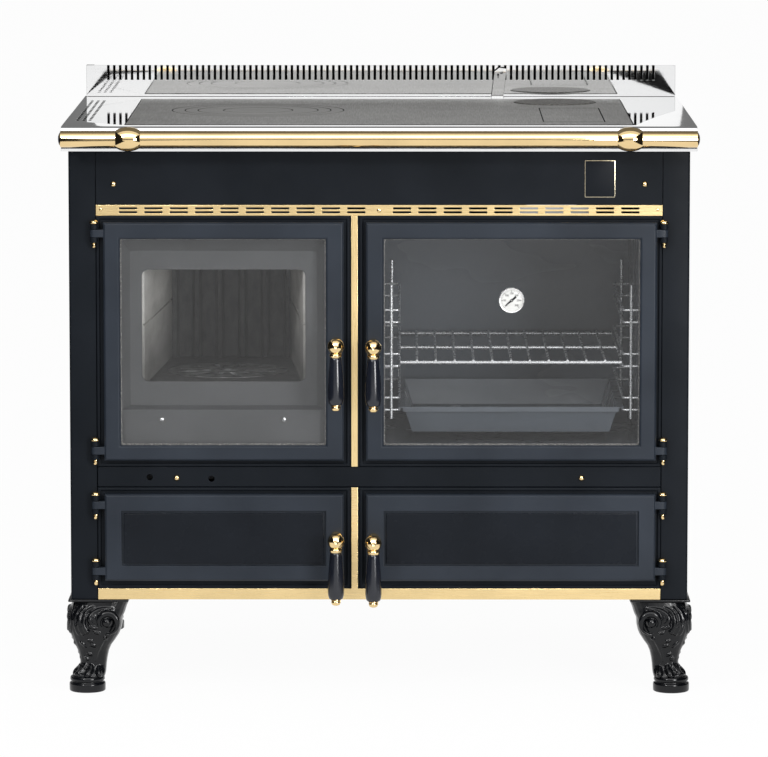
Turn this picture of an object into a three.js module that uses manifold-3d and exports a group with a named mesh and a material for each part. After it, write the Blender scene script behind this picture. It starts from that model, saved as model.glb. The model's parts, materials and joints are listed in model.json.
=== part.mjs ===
// A wood-burning range cooker with a stainless worktop, a ground steel hob with lift-out rings,
// a glazed firebox door, a glazed oven door, two lower doors, a brass rail and cast scrolled legs.
//
// Millimetres, +Z up, front towards -Y. While the pieces are made, y = 0 is the front edge of the
// worktop, x = 0 the middle of the stove and z = 0 the floor. The last lines centre it in y.
import * as THREE from 'three';
import { mergeVertices } from 'three/addons/utils/BufferGeometryUtils.js';
import Module from 'manifold-3d';

const wasm = await Module();
wasm.setup();

// ---------------------------------------------------------------- driving dimensions

// Fits
const seat = 0.3; // between two pieces that rest on each other
const glassPlay = 0.5; // round a pane in its rebate
const turningPlay = 0.6; // round a spindle or hinge pin, and between hinge knuckles
const liftPlay = 0.4; // round a hob ring, lid or cover in its seat
const slidePlay = 2; // round the damper strip in its slot
const sheet = 2.5; // enamelled body sheet
const innerSheet = 2; // oven and pan sheet

// Body, from the floor up
const legHeight = 151;
const bottomStripHeight = 17.7;
const lowerFrameHeight = 162;
const railHeight = 32.5;
const upperFrameHeight = 399;
const ventStripHeight = 16.7;
const fasciaHeight = 122;
const lineGap = 0.5; // dark line between two neighbouring front pieces

// Body, across and back
const bodyWidth = 980;
const bodyDepth = 641;
const bodySetback = 18; // the body front stands this far behind the worktop's edge
const columnWidth = 43;
const cornerRadius = 4;
const rearFlange = 22;
const frameThickness = 4;
const beadWidth = 5.5;
const beadProud = 2.5;

// Worktop, hob and upstand
const worktopOverhang = 10;
const worktopDepth = 677;
const worktopSheet = 2.5;
const noseHeight = 39;
const noseRadius = 7;
const hobHalfWidth = 401;
const hobFront = 35;
const hobDepth = 562;
const hobStandsUp = 0.5;
const hobLip = 6; // hidden flange under the worktop's edge
const hobFlangeThickness = 10;
const upstandHeight = 53;
const upstandThickness = 14;
const upstandSheet = 1.5;
const upstandInset = 3; // from each end of the worktop
const upstandFromRear = 2;
const upstandSlotPitch = 10;
const upstandSlotWidth = 4;
const upstandSlotDepth = 25;
const upstandSlotMargin = 35; // plain metal at each end
const perforationRows = 3;
const perforationRowPitch = 10;
const perforationFromEdge = 18.5; // outermost row to the worktop's left end
const perforationLength = 20;
const perforationWidth = 4;
const perforationPitch = 30;
const perforationCount = 15;
const perforationStart = 125;

// Hob rings, covers
const ringCentre = new THREE.Vector2(-199, 345);
const ringRadii = [140, 119, 98, 56.5];
const ringLedge = 6;
const ringThickness = 12;
const ringSides = 24;
const flueCoverCentre = new THREE.Vector2(290, 521);
const flueCoverRadius = 67;
const flueCoverProud = 1.5;
const cleaningCoverCentre = new THREE.Vector2(309.5, 243);
const cleaningCoverWidth = 97.5;
const cleaningCoverDepth = 297;

// Handrail
const railRadius = 13;
const railHalfLength = 497;
const railEndCap = 5;
const railForward = 45; // rail axis in front of the worktop's edge
const railBelowTop = 16;
const bracketHalfSpan = 392.5;
const barrelLength = 39;
const barrelRadius = 19.3;
const postRadius = 7;
const rosetteRadius = 13;

// Brass strips
const stripThickness = 2.2;
const centreStripX = -39;
const centreStripWidth = 10;
const ventSlotLength = 28.5;
const ventSlotHeight = 3.4;
const ventRowPitch = 6.2;
const ventSlotPitch = 40;
const ventSlotPairs = 20;

// Doors
const doorThickness = 14;
const doorRearGap = 2;
const doorBevel = 3;
const doorStripGap = 16.7; // edge of a left door to the middle of the brass strip
const doorColumnGap = 12;
const doorTopGap = 9.5;
const doorBottomGap = 11;
const stileWidth = 26.5;
const glassRebate = 7;
const glassThickness = 4;
const gasketThickness = 5;
const panelGroove = 4;
const panelGrooveDepth = 5;

// Hinges
const pinRadius = 3.6;
const knuckleRadius = 6.2;
const knuckleFromColumn = 2.5; // hinge axis in front of the frame, beside the column
const earHeight = 12;
const lugHeight = 8;
const earThickness = 9;
const hingeInset = 17.5; // door's top or bottom edge to the middle of the near ear

// Handles
const ballRadius = 13;
const ballForward = 49; // ball centre in front of the door's face
const spindleRadius = 6;
const handleFromEdge = 12.2;
const collarRadius = 10;
const collarHeight = 8.5;
const gripLength = 74;
const gripTopRadius = 9.5;
const gripRadius = 13;
const gripCoreRadius = 4;
const endCapRadius = 8;
const endCapHeight = 11;

// Firebox
const fireboxDepth = 410;
const fireboxWall = 4;
const fireboxTopZ = 800;
const fireboxFloorZ = 490;
const fireboxFloorThickness = 12;
const ashShaftBottomZ = 341;
const mouthWidth = 259;
const mouthHeight = 178;
const mouthBottomZ = 498;
const mouthCorner = 10;
const frontPlateSetback = 14;
const frontPlateThickness = 4;
const frontPlateWidth = 296;
const frontPlateBottomZ = 460;
const frontPlateTopZ = 706;
const brickTopZ = 782;
const brickFrontFace = 54; // brick thickness at the front, and at the back
const brickRearFace = 82;
const ribCount = 6;
const ribPitch = 37.6;
const ribDepth = 13;
const ribWidth = 15;
const backPlateThickness = 12;
const grateRadius = 99;
const grateSlots = 12;
const grateThickness = 10;

// Oven
const ovenDepth = 458;
const ovenFlange = 9;
const rackWireRadius = 2;
const postWireRadius = 2.4;
const rackInset = 25; // inner wire of a rack to the oven wall
const rungTopZ = 610;
const rungPairGap = 19.5;
const rungPairPitch = 70;
const rungPairs = 3;
const rackFront = 32; // behind the oven's mouth
const rackRear = 30; // in front of the oven's back
const shelfBarRadius = 3;
const shelfWireRadius = 1.9;
const shelfWires = 11;
const shelfWirePitch = 29.9;
const shelfDepth = 410;
const trayDepth = 368;
const trayHeight = 42;
const trayTaper = 13;
const trayLip = 8;

// Lower cabinet, ash pan
const cabinetFloorRise = 35; // compartment floor above the underside of the body
const ashPanHeight = 58;
const ashPanDepth = 390;
const ashPanSetback = 42;
const ashPanSideGap = 10;

// Flue
const collarBore = 67;
const collarWall = 3;
const collarLength = 40;
const collarFlange = 90;
const collarCentre = new THREE.Vector2(290, 770);

// Damper strip
const damperX = 196.5;
const damperFromUpstand = 18;
const damperWidth = 20;
const damperThickness = 3;
const damperRise = 50;
const damperLean = THREE.MathUtils.degToRad(6.8);
const damperGateWidth = 90;
const damperGateHeight = 60;
const damperStem = 75;
const damperHoleRadius = 2;

// Legs
const footRadius = 30;
const footHeight = 19;
const legPlate = 98; // side of the square plate on top
const legPlateThickness = 4;
const legOverhang = 7.7; // plate outside the body's corner
const voluteRadius = 20;
const voluteZ = 121;

// Thermometer
const dialX = 209;
const dialZ = 631;
const dialRadius = 20;
const dialDepth = 8;
const dialRim = 2;
const dialRecess = 3;
const stemRadius = 4;
const needleLength = 13.5;
const needleTail = 9;
const needleAngle = THREE.MathUtils.degToRad(220); // pointer at rest, from +X towards +Z

// ---------------------------------------------------------------- places worked out from them

const bodyHalf = bodyWidth / 2;
const columnInner = bodyHalf - columnWidth;
const frameHalf = columnInner - seat;
const bodyBottom = legHeight + seat;
const bodyRear = bodySetback + bodyDepth;
const lowerFrameBottom = bodyBottom + bottomStripHeight;
const lowerFrameTop = lowerFrameBottom + lowerFrameHeight;
const railBottom = lowerFrameTop + lineGap;
const railTop = railBottom + railHeight;
const upperFrameBottom = railTop + lineGap;
const upperFrameTop = upperFrameBottom + upperFrameHeight;
const ventStripBottom = upperFrameTop + seat;
const ventStripTop = ventStripBottom + ventStripHeight;
const fasciaBottom = ventStripTop + seat;
const bodyTop = fasciaBottom + fasciaHeight;
const worktopUnder = bodyTop + seat;
const worktopTop = worktopUnder + worktopSheet;
const worktopHalf = bodyHalf + worktopOverhang;
const upstandRear = worktopDepth - upstandFromRear;
const upstandFront = upstandRear - upstandThickness;
const upstandBottom = worktopTop + seat;
const hobTop = worktopTop + hobStandsUp;
const hobUnder = worktopUnder - seat - hobFlangeThickness;
const ledgeZ = hobTop - ringThickness / 2;
const railY = -railForward;
const railZ = worktopTop - railBelowTop;
const doorRear = bodySetback - doorRearGap;
const doorFront = doorRear - doorThickness;
const paneFront = doorRear - gasketThickness - glassThickness + 1;
const paneRear = paneFront + glassThickness;
const hingeX = columnInner + knuckleFromColumn;
const hingeY = doorFront + doorThickness / 2;
const frameRear = bodySetback + frameThickness;
const innerFront = frameRear + seat;
const ballY = doorFront - ballForward;
const cabinetFloor = bodyBottom + cabinetFloorRise;

// The four doors: outer box in x and z, and which side the hinges are on (-1 left, 1 right).
const leftDoorX = [-columnInner + doorColumnGap, centreStripX - doorStripGap];
const rightDoorX = [centreStripX + doorStripGap + 1.3, columnInner - doorColumnGap + 3];
const upperDoorZ = [upperFrameBottom + doorBottomGap, upperFrameTop - doorTopGap];
const lowerDoorZ = [lowerFrameBottom + doorBottomGap + 2.5, lowerFrameTop - doorTopGap];
const fireboxDoor = { x: leftDoorX, z: upperDoorZ, side: -1, handleZ: 563.5 };
const ovenDoor = { x: rightDoorX, z: upperDoorZ, side: 1, handleZ: 561.5 };
const lowerLeftDoor = { x: leftDoorX, z: lowerDoorZ, side: -1, handleZ: 254 };
const lowerRightDoor = { x: rightDoorX, z: lowerDoorZ, side: 1, handleZ: 251 };
const doors = [fireboxDoor, ovenDoor, lowerLeftDoor, lowerRightDoor];

// The clear window of a door, inside its stiles.
function windowOf(door) {
  const handleStile = stileWidth + 2;
  const left = door.side < 0 ? stileWidth : handleStile;
  const right = door.side < 0 ? handleStile : stileWidth;
  return {
    x: [door.x[0] + left, door.x[1] - right],
    z: [door.z[0] + stileWidth - 2, door.z[1] - stileWidth],
  };
}
const fireboxWindow = windowOf(fireboxDoor);
const ovenWindow = windowOf(ovenDoor);

function handleX(door) {
  return door.side < 0 ? door.x[1] - handleFromEdge : door.x[0] + handleFromEdge;
}

function earHeights(door) {
  return [door.z[1] - hingeInset, door.z[0] + hingeInset - 2];
}

const fireboxMid = (fireboxWindow.x[0] + fireboxWindow.x[1]) / 2;
const casingX = [fireboxWindow.x[0] - 22, fireboxWindow.x[1] + 22];
const casingFront = innerFront + frontPlateSetback + frontPlateThickness + seat;
const casingRear = casingFront + fireboxDepth;
const grateCentre = new THREE.Vector2(fireboxMid, (casingFront + casingRear) / 2);
const ovenX = [ovenWindow.x[0] - 1, ovenWindow.x[1] + 1];
const ovenZ = [ovenWindow.z[0] - 6, ovenWindow.z[1] + 6];
const ovenBack = innerFront + ovenDepth;

// ---------------------------------------------------------------- finishes

function finish(color, roughness, metalness) {
  return new THREE.MeshStandardMaterial({ color, roughness, metalness });
}
const satinBlack = () => finish(0x24272b, 0.45, 0.25);
const doorBlack = () => finish(0x363a42, 0.42, 0.3);
const castBlack = () => finish(0x101113, 0.28, 0.3);
const stainless = () => finish(0xe4e5e6, 0.12, 1);
const groundSteel = () => finish(0x85837e, 0.38, 0.9);
const roughIron = () => finish(0x5b5a57, 0.75, 0.6);
const satinBrass = () => finish(0xdcc27f, 0.3, 1);
const polishedBrass = () => finish(0xd9b25c, 0.12, 1);
const castIron = () => finish(0x3c3c3d, 0.7, 0.5);
const greySteel = () => finish(0x6a6a6a, 0.5, 0.6);
const firebrickBuff = () => finish(0xb5aea2, 0.9, 0);
const darkEnamel = () => finish(0x2a2c2f, 0.3, 0.1);
const chromedWire = () => finish(0xd6d8da, 0.15, 1);
const glassRope = () => finish(0xb9b6ad, 0.95, 0);
const zincSheet = () => finish(0x8f9296, 0.45, 0.9);
const dialWhite = () => finish(0xe9e8e4, 0.35, 0.1);
const needleBlack = () => finish(0x151515, 0.4, 0.1);

function glass() {
  const pane = finish(0x3a3f44, 0.05, 0);
  pane.transparent = true;
  pane.opacity = 0.3;
  return pane;
}

// ---------------------------------------------------------------- making solids

// A closed three.js geometry as a solid, turned to face outwards.
function solid(geometry) {
  const bare = geometry.clone();
  bare.deleteAttribute('normal');
  bare.deleteAttribute('uv');
  const merged = mergeVertices(bare, 1e-4);
  const index = merged.index.array;
  const triangles = [];
  for (let i = 0; i < index.length; i += 3) {
    const [a, b, c] = [index[i], index[i + 1], index[i + 2]];
    if (a !== b && b !== c && c !== a) triangles.push([a, b, c]);
  }
  const close = (faces) =>
    new wasm.Manifold(
      new wasm.Mesh({
        numProp: 3,
        vertProperties: merged.attributes.position.array,
        triVerts: new Uint32Array(faces.flat()),
      }),
    );
  const made = close(triangles);
  return made.volume() > 0 ? made : close(triangles.map(([a, b, c]) => [a, c, b]));
}

function joined(...solids) {
  return solids.reduce((whole, next) => whole.add(next));
}

function cut(body, ...tools) {
  return tools.reduce((whole, next) => whole.subtract(next), body);
}

function box([x0, x1], [y0, y1], [z0, z1]) {
  const geometry = new THREE.BoxGeometry(x1 - x0, y1 - y0, z1 - z0);
  return solid(geometry.translate((x0 + x1) / 2, (y0 + y1) / 2, (z0 + z1) / 2));
}

function outline(points) {
  return new THREE.Shape(points.map(([x, y]) => new THREE.Vector2(x, y)));
}

function rectangle([x0, x1], [y0, y1], radius = 0, steps = 3) {
  if (radius === 0) {
    return outline([[x0, y0], [x1, y0], [x1, y1], [x0, y1]]);
  }
  const corners = [
    [x1 - radius, y0 + radius, -90],
    [x1 - radius, y1 - radius, 0],
    [x0 + radius, y1 - radius, 90],
    [x0 + radius, y0 + radius, 180],
  ];
  const points = [];
  for (const [x, y, start] of corners) {
    for (let i = 0; i <= steps; i += 1) {
      const angle = THREE.MathUtils.degToRad(start + (90 * i) / steps);
      points.push([x + radius * Math.cos(angle), y + radius * Math.sin(angle)]);
    }
  }
  return outline(points);
}

function circle(x, y, radius, sides) {
  const points = [];
  for (let i = 0; i < sides; i += 1) {
    const angle = (2 * Math.PI * i) / sides;
    points.push([x + radius * Math.cos(angle), y + radius * Math.sin(angle)]);
  }
  return outline(points);
}

// A drawn outline, holes and all, as a prism from 0 to depth.
function prism(shape, depth) {
  const extruded = (drawn, from, to) => {
    const geometry = new THREE.ExtrudeGeometry(drawn, { depth: to - from, bevelEnabled: false });
    return solid(geometry.translate(0, 0, from));
  };
  const holes = shape.holes.map((hole) => extruded(new THREE.Shape(hole.getPoints()), -1, depth + 1));
  return cut(extruded(new THREE.Shape(shape.getPoints()), 0, depth), ...holes);
}

// Prisms of an outline: up from z0 to z1, back from y0 to y1, or across from x0 to x1.
function extrudeUp(shape, z0, z1) {
  return prism(shape, z1 - z0).translate([0, 0, z0]);
}

function extrudeBack(shape, y0, y1) {
  return prism(shape, y1 - y0).rotate([90, 0, 0]).translate([0, y1, 0]);
}

function extrudeAcross(shape, x0, x1) {
  return prism(shape, x1 - x0).rotate([90, 0, 90]).translate([x0, 0, 0]);
}

// The four corners of an upright rectangle at depth y, drawn in by an inset.
function uprightRing([x0, x1], [z0, z1], y, inset = 0) {
  return [
    new THREE.Vector3(x0 + inset, y, z0 + inset),
    new THREE.Vector3(x1 - inset, y, z0 + inset),
    new THREE.Vector3(x1 - inset, y, z1 - inset),
    new THREE.Vector3(x0 + inset, y, z1 - inset),
  ];
}

// An upright plate from y0 back to y1 with bevelled front edges, and a window cut in such a plate.
function bevelledPlate(x, z, y0, y1, bevel) {
  return loft([
    uprightRing(x, z, y0, bevel),
    uprightRing(x, z, y0 + bevel),
    uprightRing(x, z, y1),
  ]);
}

function bevelledWindow(x, z, y0, y1, bevel) {
  return loft([
    uprightRing(x, z, y0 - 1, -bevel - 1),
    uprightRing(x, z, y0 + bevel),
    uprightRing(x, z, y1 + 1),
  ]);
}

// A profile of [radius, height] points turned about a vertical, front-to-back or left-to-right axis.
function turned(profile, sides) {
  return new THREE.LatheGeometry(
    profile.map(([radius, height]) => new THREE.Vector2(radius, height)),
    sides,
  );
}

function turnedUp(profile, sides, x, y, z) {
  return solid(turned(profile, sides).rotateX(Math.PI / 2).translate(x, y, z));
}

function turnedBack(profile, sides, x, y, z) {
  return solid(turned(profile, sides).translate(x, y, z));
}

function turnedAcross(profile, sides, x, y, z) {
  return solid(turned(profile, sides).rotateZ(-Math.PI / 2).translate(x, y, z));
}

function disc(radius, z0, z1, sides, x, y) {
  return turnedUp([[0, z0], [radius, z0], [radius, z1], [0, z1]], sides, x, y, 0);
}

function rod(radius, y0, y1, sides, x, z) {
  return turnedBack([[0, y0], [radius, y0], [radius, y1], [0, y1]], sides, x, 0, z);
}

// A level wire bent along a path of points, mitred at its corners.
function wire(points, radius, sides) {
  const up = new THREE.Vector3(0, 0, 1);
  const heading = (from, to) => new THREE.Vector3().subVectors(to, from).normalize();
  const rings = points.map((point, i) => {
    const before = heading(points[Math.max(i - 1, 0)], points[Math.max(i, 1)]);
    const after = heading(
      points[Math.min(i, points.length - 2)],
      points[Math.min(i + 1, points.length - 1)],
    );
    const along = new THREE.Vector3().addVectors(before, after).normalize();
    const across = new THREE.Vector3().crossVectors(up, along);
    const mitre = 1 / along.dot(before);
    const ring = [];
    for (let k = 0; k < sides; k += 1) {
      const angle = (2 * Math.PI * k) / sides;
      ring.push(
        point
          .clone()
          .addScaledVector(across, radius * mitre * Math.cos(angle))
          .addScaledVector(up, radius * Math.sin(angle)),
      );
    }
    return ring;
  });
  return loft(rings);
}

// A skin through equal rings of points, closed at both ends.
function loft(rings) {
  const count = rings[0].length;
  const middle = (ring) =>
    ring.reduce((sum, p) => sum.add(p), new THREE.Vector3()).divideScalar(count);
  const points = [...rings.flat(), middle(rings[0]), middle(rings.at(-1))];
  const first = points.length - 2;
  const last = points.length - 1;
  const index = [];
  for (let r = 0; r + 1 < rings.length; r += 1) {
    for (let i = 0; i < count; i += 1) {
      const a = r * count + i;
      const b = r * count + ((i + 1) % count);
      index.push(a, b, b + count, a, b + count, a + count);
    }
  }
  const top = (rings.length - 1) * count;
  for (let i = 0; i < count; i += 1) {
    const next = (i + 1) % count;
    index.push(first, next, i, last, top + i, top + next);
  }
  const geometry = new THREE.BufferGeometry().setFromPoints(points);
  geometry.setIndex(index);
  return solid(geometry);
}

const stove = new THREE.Group();

function place(name, body, material) {
  const mesh = body.getMesh();
  const geometry = new THREE.BufferGeometry();
  geometry.setAttribute('position', new THREE.BufferAttribute(mesh.vertProperties, 3));
  geometry.setIndex(new THREE.BufferAttribute(mesh.triVerts, 1));
  const flat = geometry.toNonIndexed();
  flat.computeVertexNormals();
  const piece = new THREE.Mesh(flat, material);
  piece.name = name;
  stove.add(piece);
}

// ---------------------------------------------------------------- body panels

// Points round the hinge axis, from one angle on to another; 0 is outwards, a quarter turn frontal.
function knuckle(side, from, to, steps) {
  const points = [];
  for (let i = 0; i <= steps; i += 1) {
    const angle = from + ((to - from) * i) / steps;
    points.push([
      side * (hingeX + knuckleRadius * Math.cos(angle)),
      hingeY - knuckleRadius * Math.sin(angle),
    ]);
  }
  return points;
}

// One lug of a hinge: a bored knuckle on a boss that is welded to the column beside the frame.
function hingeLug(side, z0, z1) {
  const bossInner = columnInner + 0.5;
  const sweep = Math.PI + Math.acos((hingeX - bossInner) / knuckleRadius);
  const rear = bodySetback + 1;
  const lug = outline([
    [side * (hingeX + knuckleRadius), rear],
    ...knuckle(side, 0, sweep, 7),
    [side * bossInner, rear],
  ]);
  lug.holes.push(circle(side * hingeX, hingeY, pinRadius + turningPlay, 8));
  return extrudeUp(lug, z0, z1);
}

function hingeLugs(side) {
  const lugs = [];
  for (const door of doors.filter((each) => each.side === side)) {
    for (const z of earHeights(door)) {
      const reach = earHeight / 2 + turningPlay;
      lugs.push(hingeLug(side, z + reach, z + reach + lugHeight));
      lugs.push(hingeLug(side, z - reach - lugHeight, z - reach));
    }
  }
  return lugs;
}

// A side sheet folded into the front column and a narrow rear flange.
function sidePanel(side) {
  const steps = 3;
  const outer = [[side * columnInner, bodySetback]];
  const inner = [[side * columnInner, bodySetback + sheet]];
  for (let i = 0; i <= steps; i += 1) {
    const angle = (Math.PI / 2) * (i / steps);
    const x = bodyHalf - cornerRadius + cornerRadius * Math.sin(angle);
    outer.push([side * x, bodySetback + cornerRadius - cornerRadius * Math.cos(angle)]);
  }
  outer.push([side * bodyHalf, bodyRear], [side * (bodyHalf - rearFlange), bodyRear]);
  inner.push([side * (bodyHalf - sheet), bodySetback + sheet]);
  inner.push([side * (bodyHalf - sheet), bodyRear - sheet]);
  inner.push([side * (bodyHalf - rearFlange), bodyRear - sheet]);
  const fold = extrudeUp(outline([...outer, ...inner.reverse()]), bodyBottom, bodyTop);
  return joined(fold, ...hingeLugs(side));
}

function backPanel() {
  const y = [bodyRear + seat, bodyRear + seat + innerSheet];
  const panel = rectangle([-bodyHalf + 2, bodyHalf - 2], [bodyBottom + 2, bodyTop]);
  panel.holes.push(circle(collarCentre.x, collarCentre.y, collarBore + collarWall + 1, 20));
  return extrudeBack(panel, ...y);
}

// Base box, divider between the two lower compartments, and the lid of the right one.
function lowerCabinet() {
  const half = bodyHalf - sheet - seat;
  const divider = centreStripX - 4;
  const lid = railBottom + 4;
  const section = outline([
    [-half, bodyBottom],
    [half, bodyBottom],
    [half, cabinetFloor],
    [divider + sheet, cabinetFloor],
    [divider + sheet, lid - sheet],
    [half, lid - sheet],
    [half, lid],
    [divider, lid],
    [divider, cabinetFloor],
    [-half, cabinetFloor],
  ]);
  section.holes.push(
    rectangle([-half + sheet, half - sheet], [bodyBottom + sheet, cabinetFloor - sheet]),
  );
  return extrudeBack(section, innerFront, bodyRear - sheet - seat);
}

function fascia() {
  return box([-frameHalf, frameHalf], [bodySetback, bodySetback + sheet], [fasciaBottom, bodyTop]);
}

// A raised bead round one door opening.
function bead([x0, x1], [z0, z1]) {
  const front = bodySetback - beadProud;
  const rear = bodySetback + 1;
  const bevel = 1.2;
  const inner = [
    [x0 + beadWidth, x1 - beadWidth],
    [z0 + beadWidth, z1 - beadWidth],
  ];
  return cut(
    bevelledPlate([x0, x1], [z0, z1], front, rear, bevel),
    bevelledWindow(...inner, front, rear, bevel),
  );
}

// A front frame with two windows and a bead round each.
function frontFrame(bottom, [z0, z1], leftHole, rightHole) {
  const stripLeft = centreStripX - centreStripWidth / 2 - 2;
  const stripRight = centreStripX + centreStripWidth / 2 + 3;
  const plate = rectangle([-frameHalf, frameHalf], [bottom, z1]);
  plate.holes.push(leftHole, rightHole);
  return joined(
    extrudeBack(plate, bodySetback, frameRear),
    bead([-frameHalf, stripLeft], [z0, z1]),
    bead([stripRight, frameHalf], [z0, z1]),
  );
}

function upperFrontFrame() {
  const leftHole = rectangle(fireboxWindow.x, fireboxWindow.z);
  const rightHole = rectangle(ovenX, ovenZ);
  const z = [upperFrameBottom, upperFrameTop];
  return frontFrame(upperFrameBottom, z, leftHole, rightHole);
}

function lowerFrontFrame() {
  const holeZ = [cabinetFloor, lowerDoorZ[1] - 5];
  const leftHole = rectangle([leftDoorX[0] + 8, leftDoorX[1] - 30], holeZ);
  const rightHole = rectangle([rightDoorX[0] + 30, rightDoorX[1] - 8], holeZ);
  const z = [lowerFrameBottom, lowerFrameTop];
  return frontFrame(bodyBottom, z, leftHole, rightHole);
}

function middleRail() {
  const airHoleRadius = 5;
  const plate = bevelledPlate(
    [-frameHalf, frameHalf],
    [railBottom, railTop],
    bodySetback,
    frameRear,
    1,
  );
  const airHole = (x, z) => rod(airHoleRadius, bodySetback - 1, frameRear + 1, 10, x, z);
  return cut(plate, airHole(-364, 347), airHole(-266, 344.5));
}

// ---------------------------------------------------------------- brass strips

function ventStrip() {
  const strip = rectangle([-frameHalf, frameHalf], [ventStripBottom, ventStripTop]);
  const middle = (ventStripBottom + ventStripTop) / 2;
  for (let i = 0; i < ventSlotPairs; i += 1) {
    const x = (i - (ventSlotPairs - 1) / 2) * ventSlotPitch;
    const shift = Math.sign(x) * 16;
    const span = [x + shift - ventSlotLength / 2, x + shift + ventSlotLength / 2];
    for (const row of [-0.5, 0.5]) {
      const z = middle + row * ventRowPitch;
      strip.holes.push(rectangle(span, [z - ventSlotHeight / 2, z + ventSlotHeight / 2]));
    }
  }
  const y = bodySetback + 0.5;
  return extrudeBack(strip, y - stripThickness, y);
}

function centreStrip() {
  const x = [centreStripX - centreStripWidth / 2, centreStripX + centreStripWidth / 2];
  const y = bodySetback - seat;
  return box(x, [y - stripThickness, y], [upperFrameBottom, upperFrameTop]);
}

// The strip under the lower doors, with the short upright between them, cut from one sheet.
function bottomStrip() {
  const left = centreStripX - centreStripWidth / 2;
  const right = centreStripX + centreStripWidth / 2;
  const y = bodySetback - seat;
  const top = lowerFrameBottom;
  const shape = outline([
    [-frameHalf, bodyBottom],
    [frameHalf, bodyBottom],
    [frameHalf, top - seat],
    [right, top - seat],
    [right, lowerFrameTop],
    [left, lowerFrameTop],
    [left, top - seat],
    [-frameHalf, top - seat],
  ]);
  return extrudeBack(shape, y - stripThickness, y);
}

// ---------------------------------------------------------------- worktop and hob

// Folded stainless tray with a rounded front edge, the hob opening, slots on the left and the
// slot that the damper strip rises through.
function worktop() {
  const steps = 3;
  const top = worktopTop;
  const under = worktopUnder;
  const skirt = top - noseHeight;
  const outer = [[0, skirt]];
  const inner = [[worktopSheet, skirt - 1]];
  for (let i = 0; i <= steps; i += 1) {
    const angle = (Math.PI / 2) * (i / steps);
    const fillet = noseRadius - worktopSheet;
    outer.push([
      noseRadius - noseRadius * Math.cos(angle),
      top - noseRadius + noseRadius * Math.sin(angle),
    ]);
    inner.push([
      noseRadius - fillet * Math.cos(angle),
      under - fillet + fillet * Math.sin(angle),
    ]);
  }
  outer.push([worktopDepth, top], [worktopDepth, skirt]);
  inner.push([worktopDepth - worktopSheet, under], [worktopDepth - worktopSheet, skirt - 1]);
  const hollowHalf = worktopHalf - worktopSheet;
  const tray = cut(
    extrudeAcross(outline(outer), -worktopHalf, worktopHalf),
    extrudeAcross(outline(inner), -hollowHalf, hollowHalf),
  );
  const play = 1;
  const hobOpening = box(
    [-hobHalfWidth - play, hobHalfWidth + play],
    [hobFront - play, hobFront + hobDepth + play],
    [under - 1, top + 1],
  );
  const slots = [];
  for (let row = 0; row < perforationRows; row += 1) {
    const x = -worktopHalf + perforationFromEdge + row * perforationRowPitch;
    for (let i = 0; i < perforationCount; i += 1) {
      const y = perforationStart + i * perforationPitch;
      const across = [x - perforationWidth / 2, x + perforationWidth / 2];
      slots.push(box(across, [y, y + perforationLength], [under - 1, top + 1]));
    }
  }
  return cut(tray, hobOpening, damperSlot(), ...slots);
}

function damperSlot() {
  const half = damperWidth / 2 / Math.cos(damperLean) + slidePlay;
  const y = upstandFront - damperFromUpstand;
  const deep = damperThickness / 2 + seat;
  return box(
    [damperX - half, damperX + half],
    [y - deep, y + deep],
    [worktopUnder - 1, worktopTop + 1],
  );
}

// Upright vented channel along the back of the worktop, its slots folding over the top edge.
function upstand() {
  const half = worktopHalf - upstandInset;
  const top = worktopTop + upstandHeight;
  const shell = cut(
    box([-half, half], [upstandFront, upstandRear], [upstandBottom, top]),
    box(
      [-half + upstandSheet, half - upstandSheet],
      [upstandFront + upstandSheet, upstandRear - upstandSheet],
      [upstandBottom - 1, top - upstandSheet],
    ),
  );
  const slotted = 2 * (half - upstandSlotMargin);
  const count = Math.floor(slotted / upstandSlotPitch) + 1;
  const slots = [];
  for (let i = 0; i < count; i += 1) {
    const x = (i - (count - 1) / 2) * upstandSlotPitch;
    slots.push(
      box(
        [x - upstandSlotWidth / 2, x + upstandSlotWidth / 2],
        [upstandFront - 1, upstandFront + upstandSheet],
        [top - upstandSlotDepth, top + 1],
      ),
    );
  }
  return cut(shell, ...slots);
}

// The rebated seat of a round or square piece that lifts out of the hob.
function hobPlate() {
  const plate = joined(
    box(
      [-hobHalfWidth, hobHalfWidth],
      [hobFront, hobFront + hobDepth],
      [hobUnder + hobFlangeThickness / 2, hobTop],
    ),
    box(
      [-hobHalfWidth - hobLip, hobHalfWidth + hobLip],
      [hobFront - hobLip, hobFront + hobDepth + hobLip],
      [hobUnder, hobUnder + hobFlangeThickness],
    ),
  );
  const roundSeat = (centre, radius, sides) =>
    joined(
      disc(radius, ledgeZ, hobTop + 1, sides, centre.x, centre.y),
      disc(radius - ringLedge, hobUnder - 1, ledgeZ + 1, sides, centre.x, centre.y),
    );
  const squareSeat = (inset) => [
    [
      cleaningCoverCentre.x - cleaningCoverWidth / 2 + inset,
      cleaningCoverCentre.x + cleaningCoverWidth / 2 - inset,
    ],
    [
      cleaningCoverCentre.y - cleaningCoverDepth / 2 + inset,
      cleaningCoverCentre.y + cleaningCoverDepth / 2 - inset,
    ],
  ];
  return cut(
    plate,
    roundSeat(ringCentre, ringRadii[0], ringSides),
    roundSeat(flueCoverCentre, flueCoverRadius, 20),
    box(...squareSeat(0), [ledgeZ, hobTop + 1]),
    box(...squareSeat(ringLedge), [hobUnder - 1, ledgeZ + 1]),
  );
}

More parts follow.
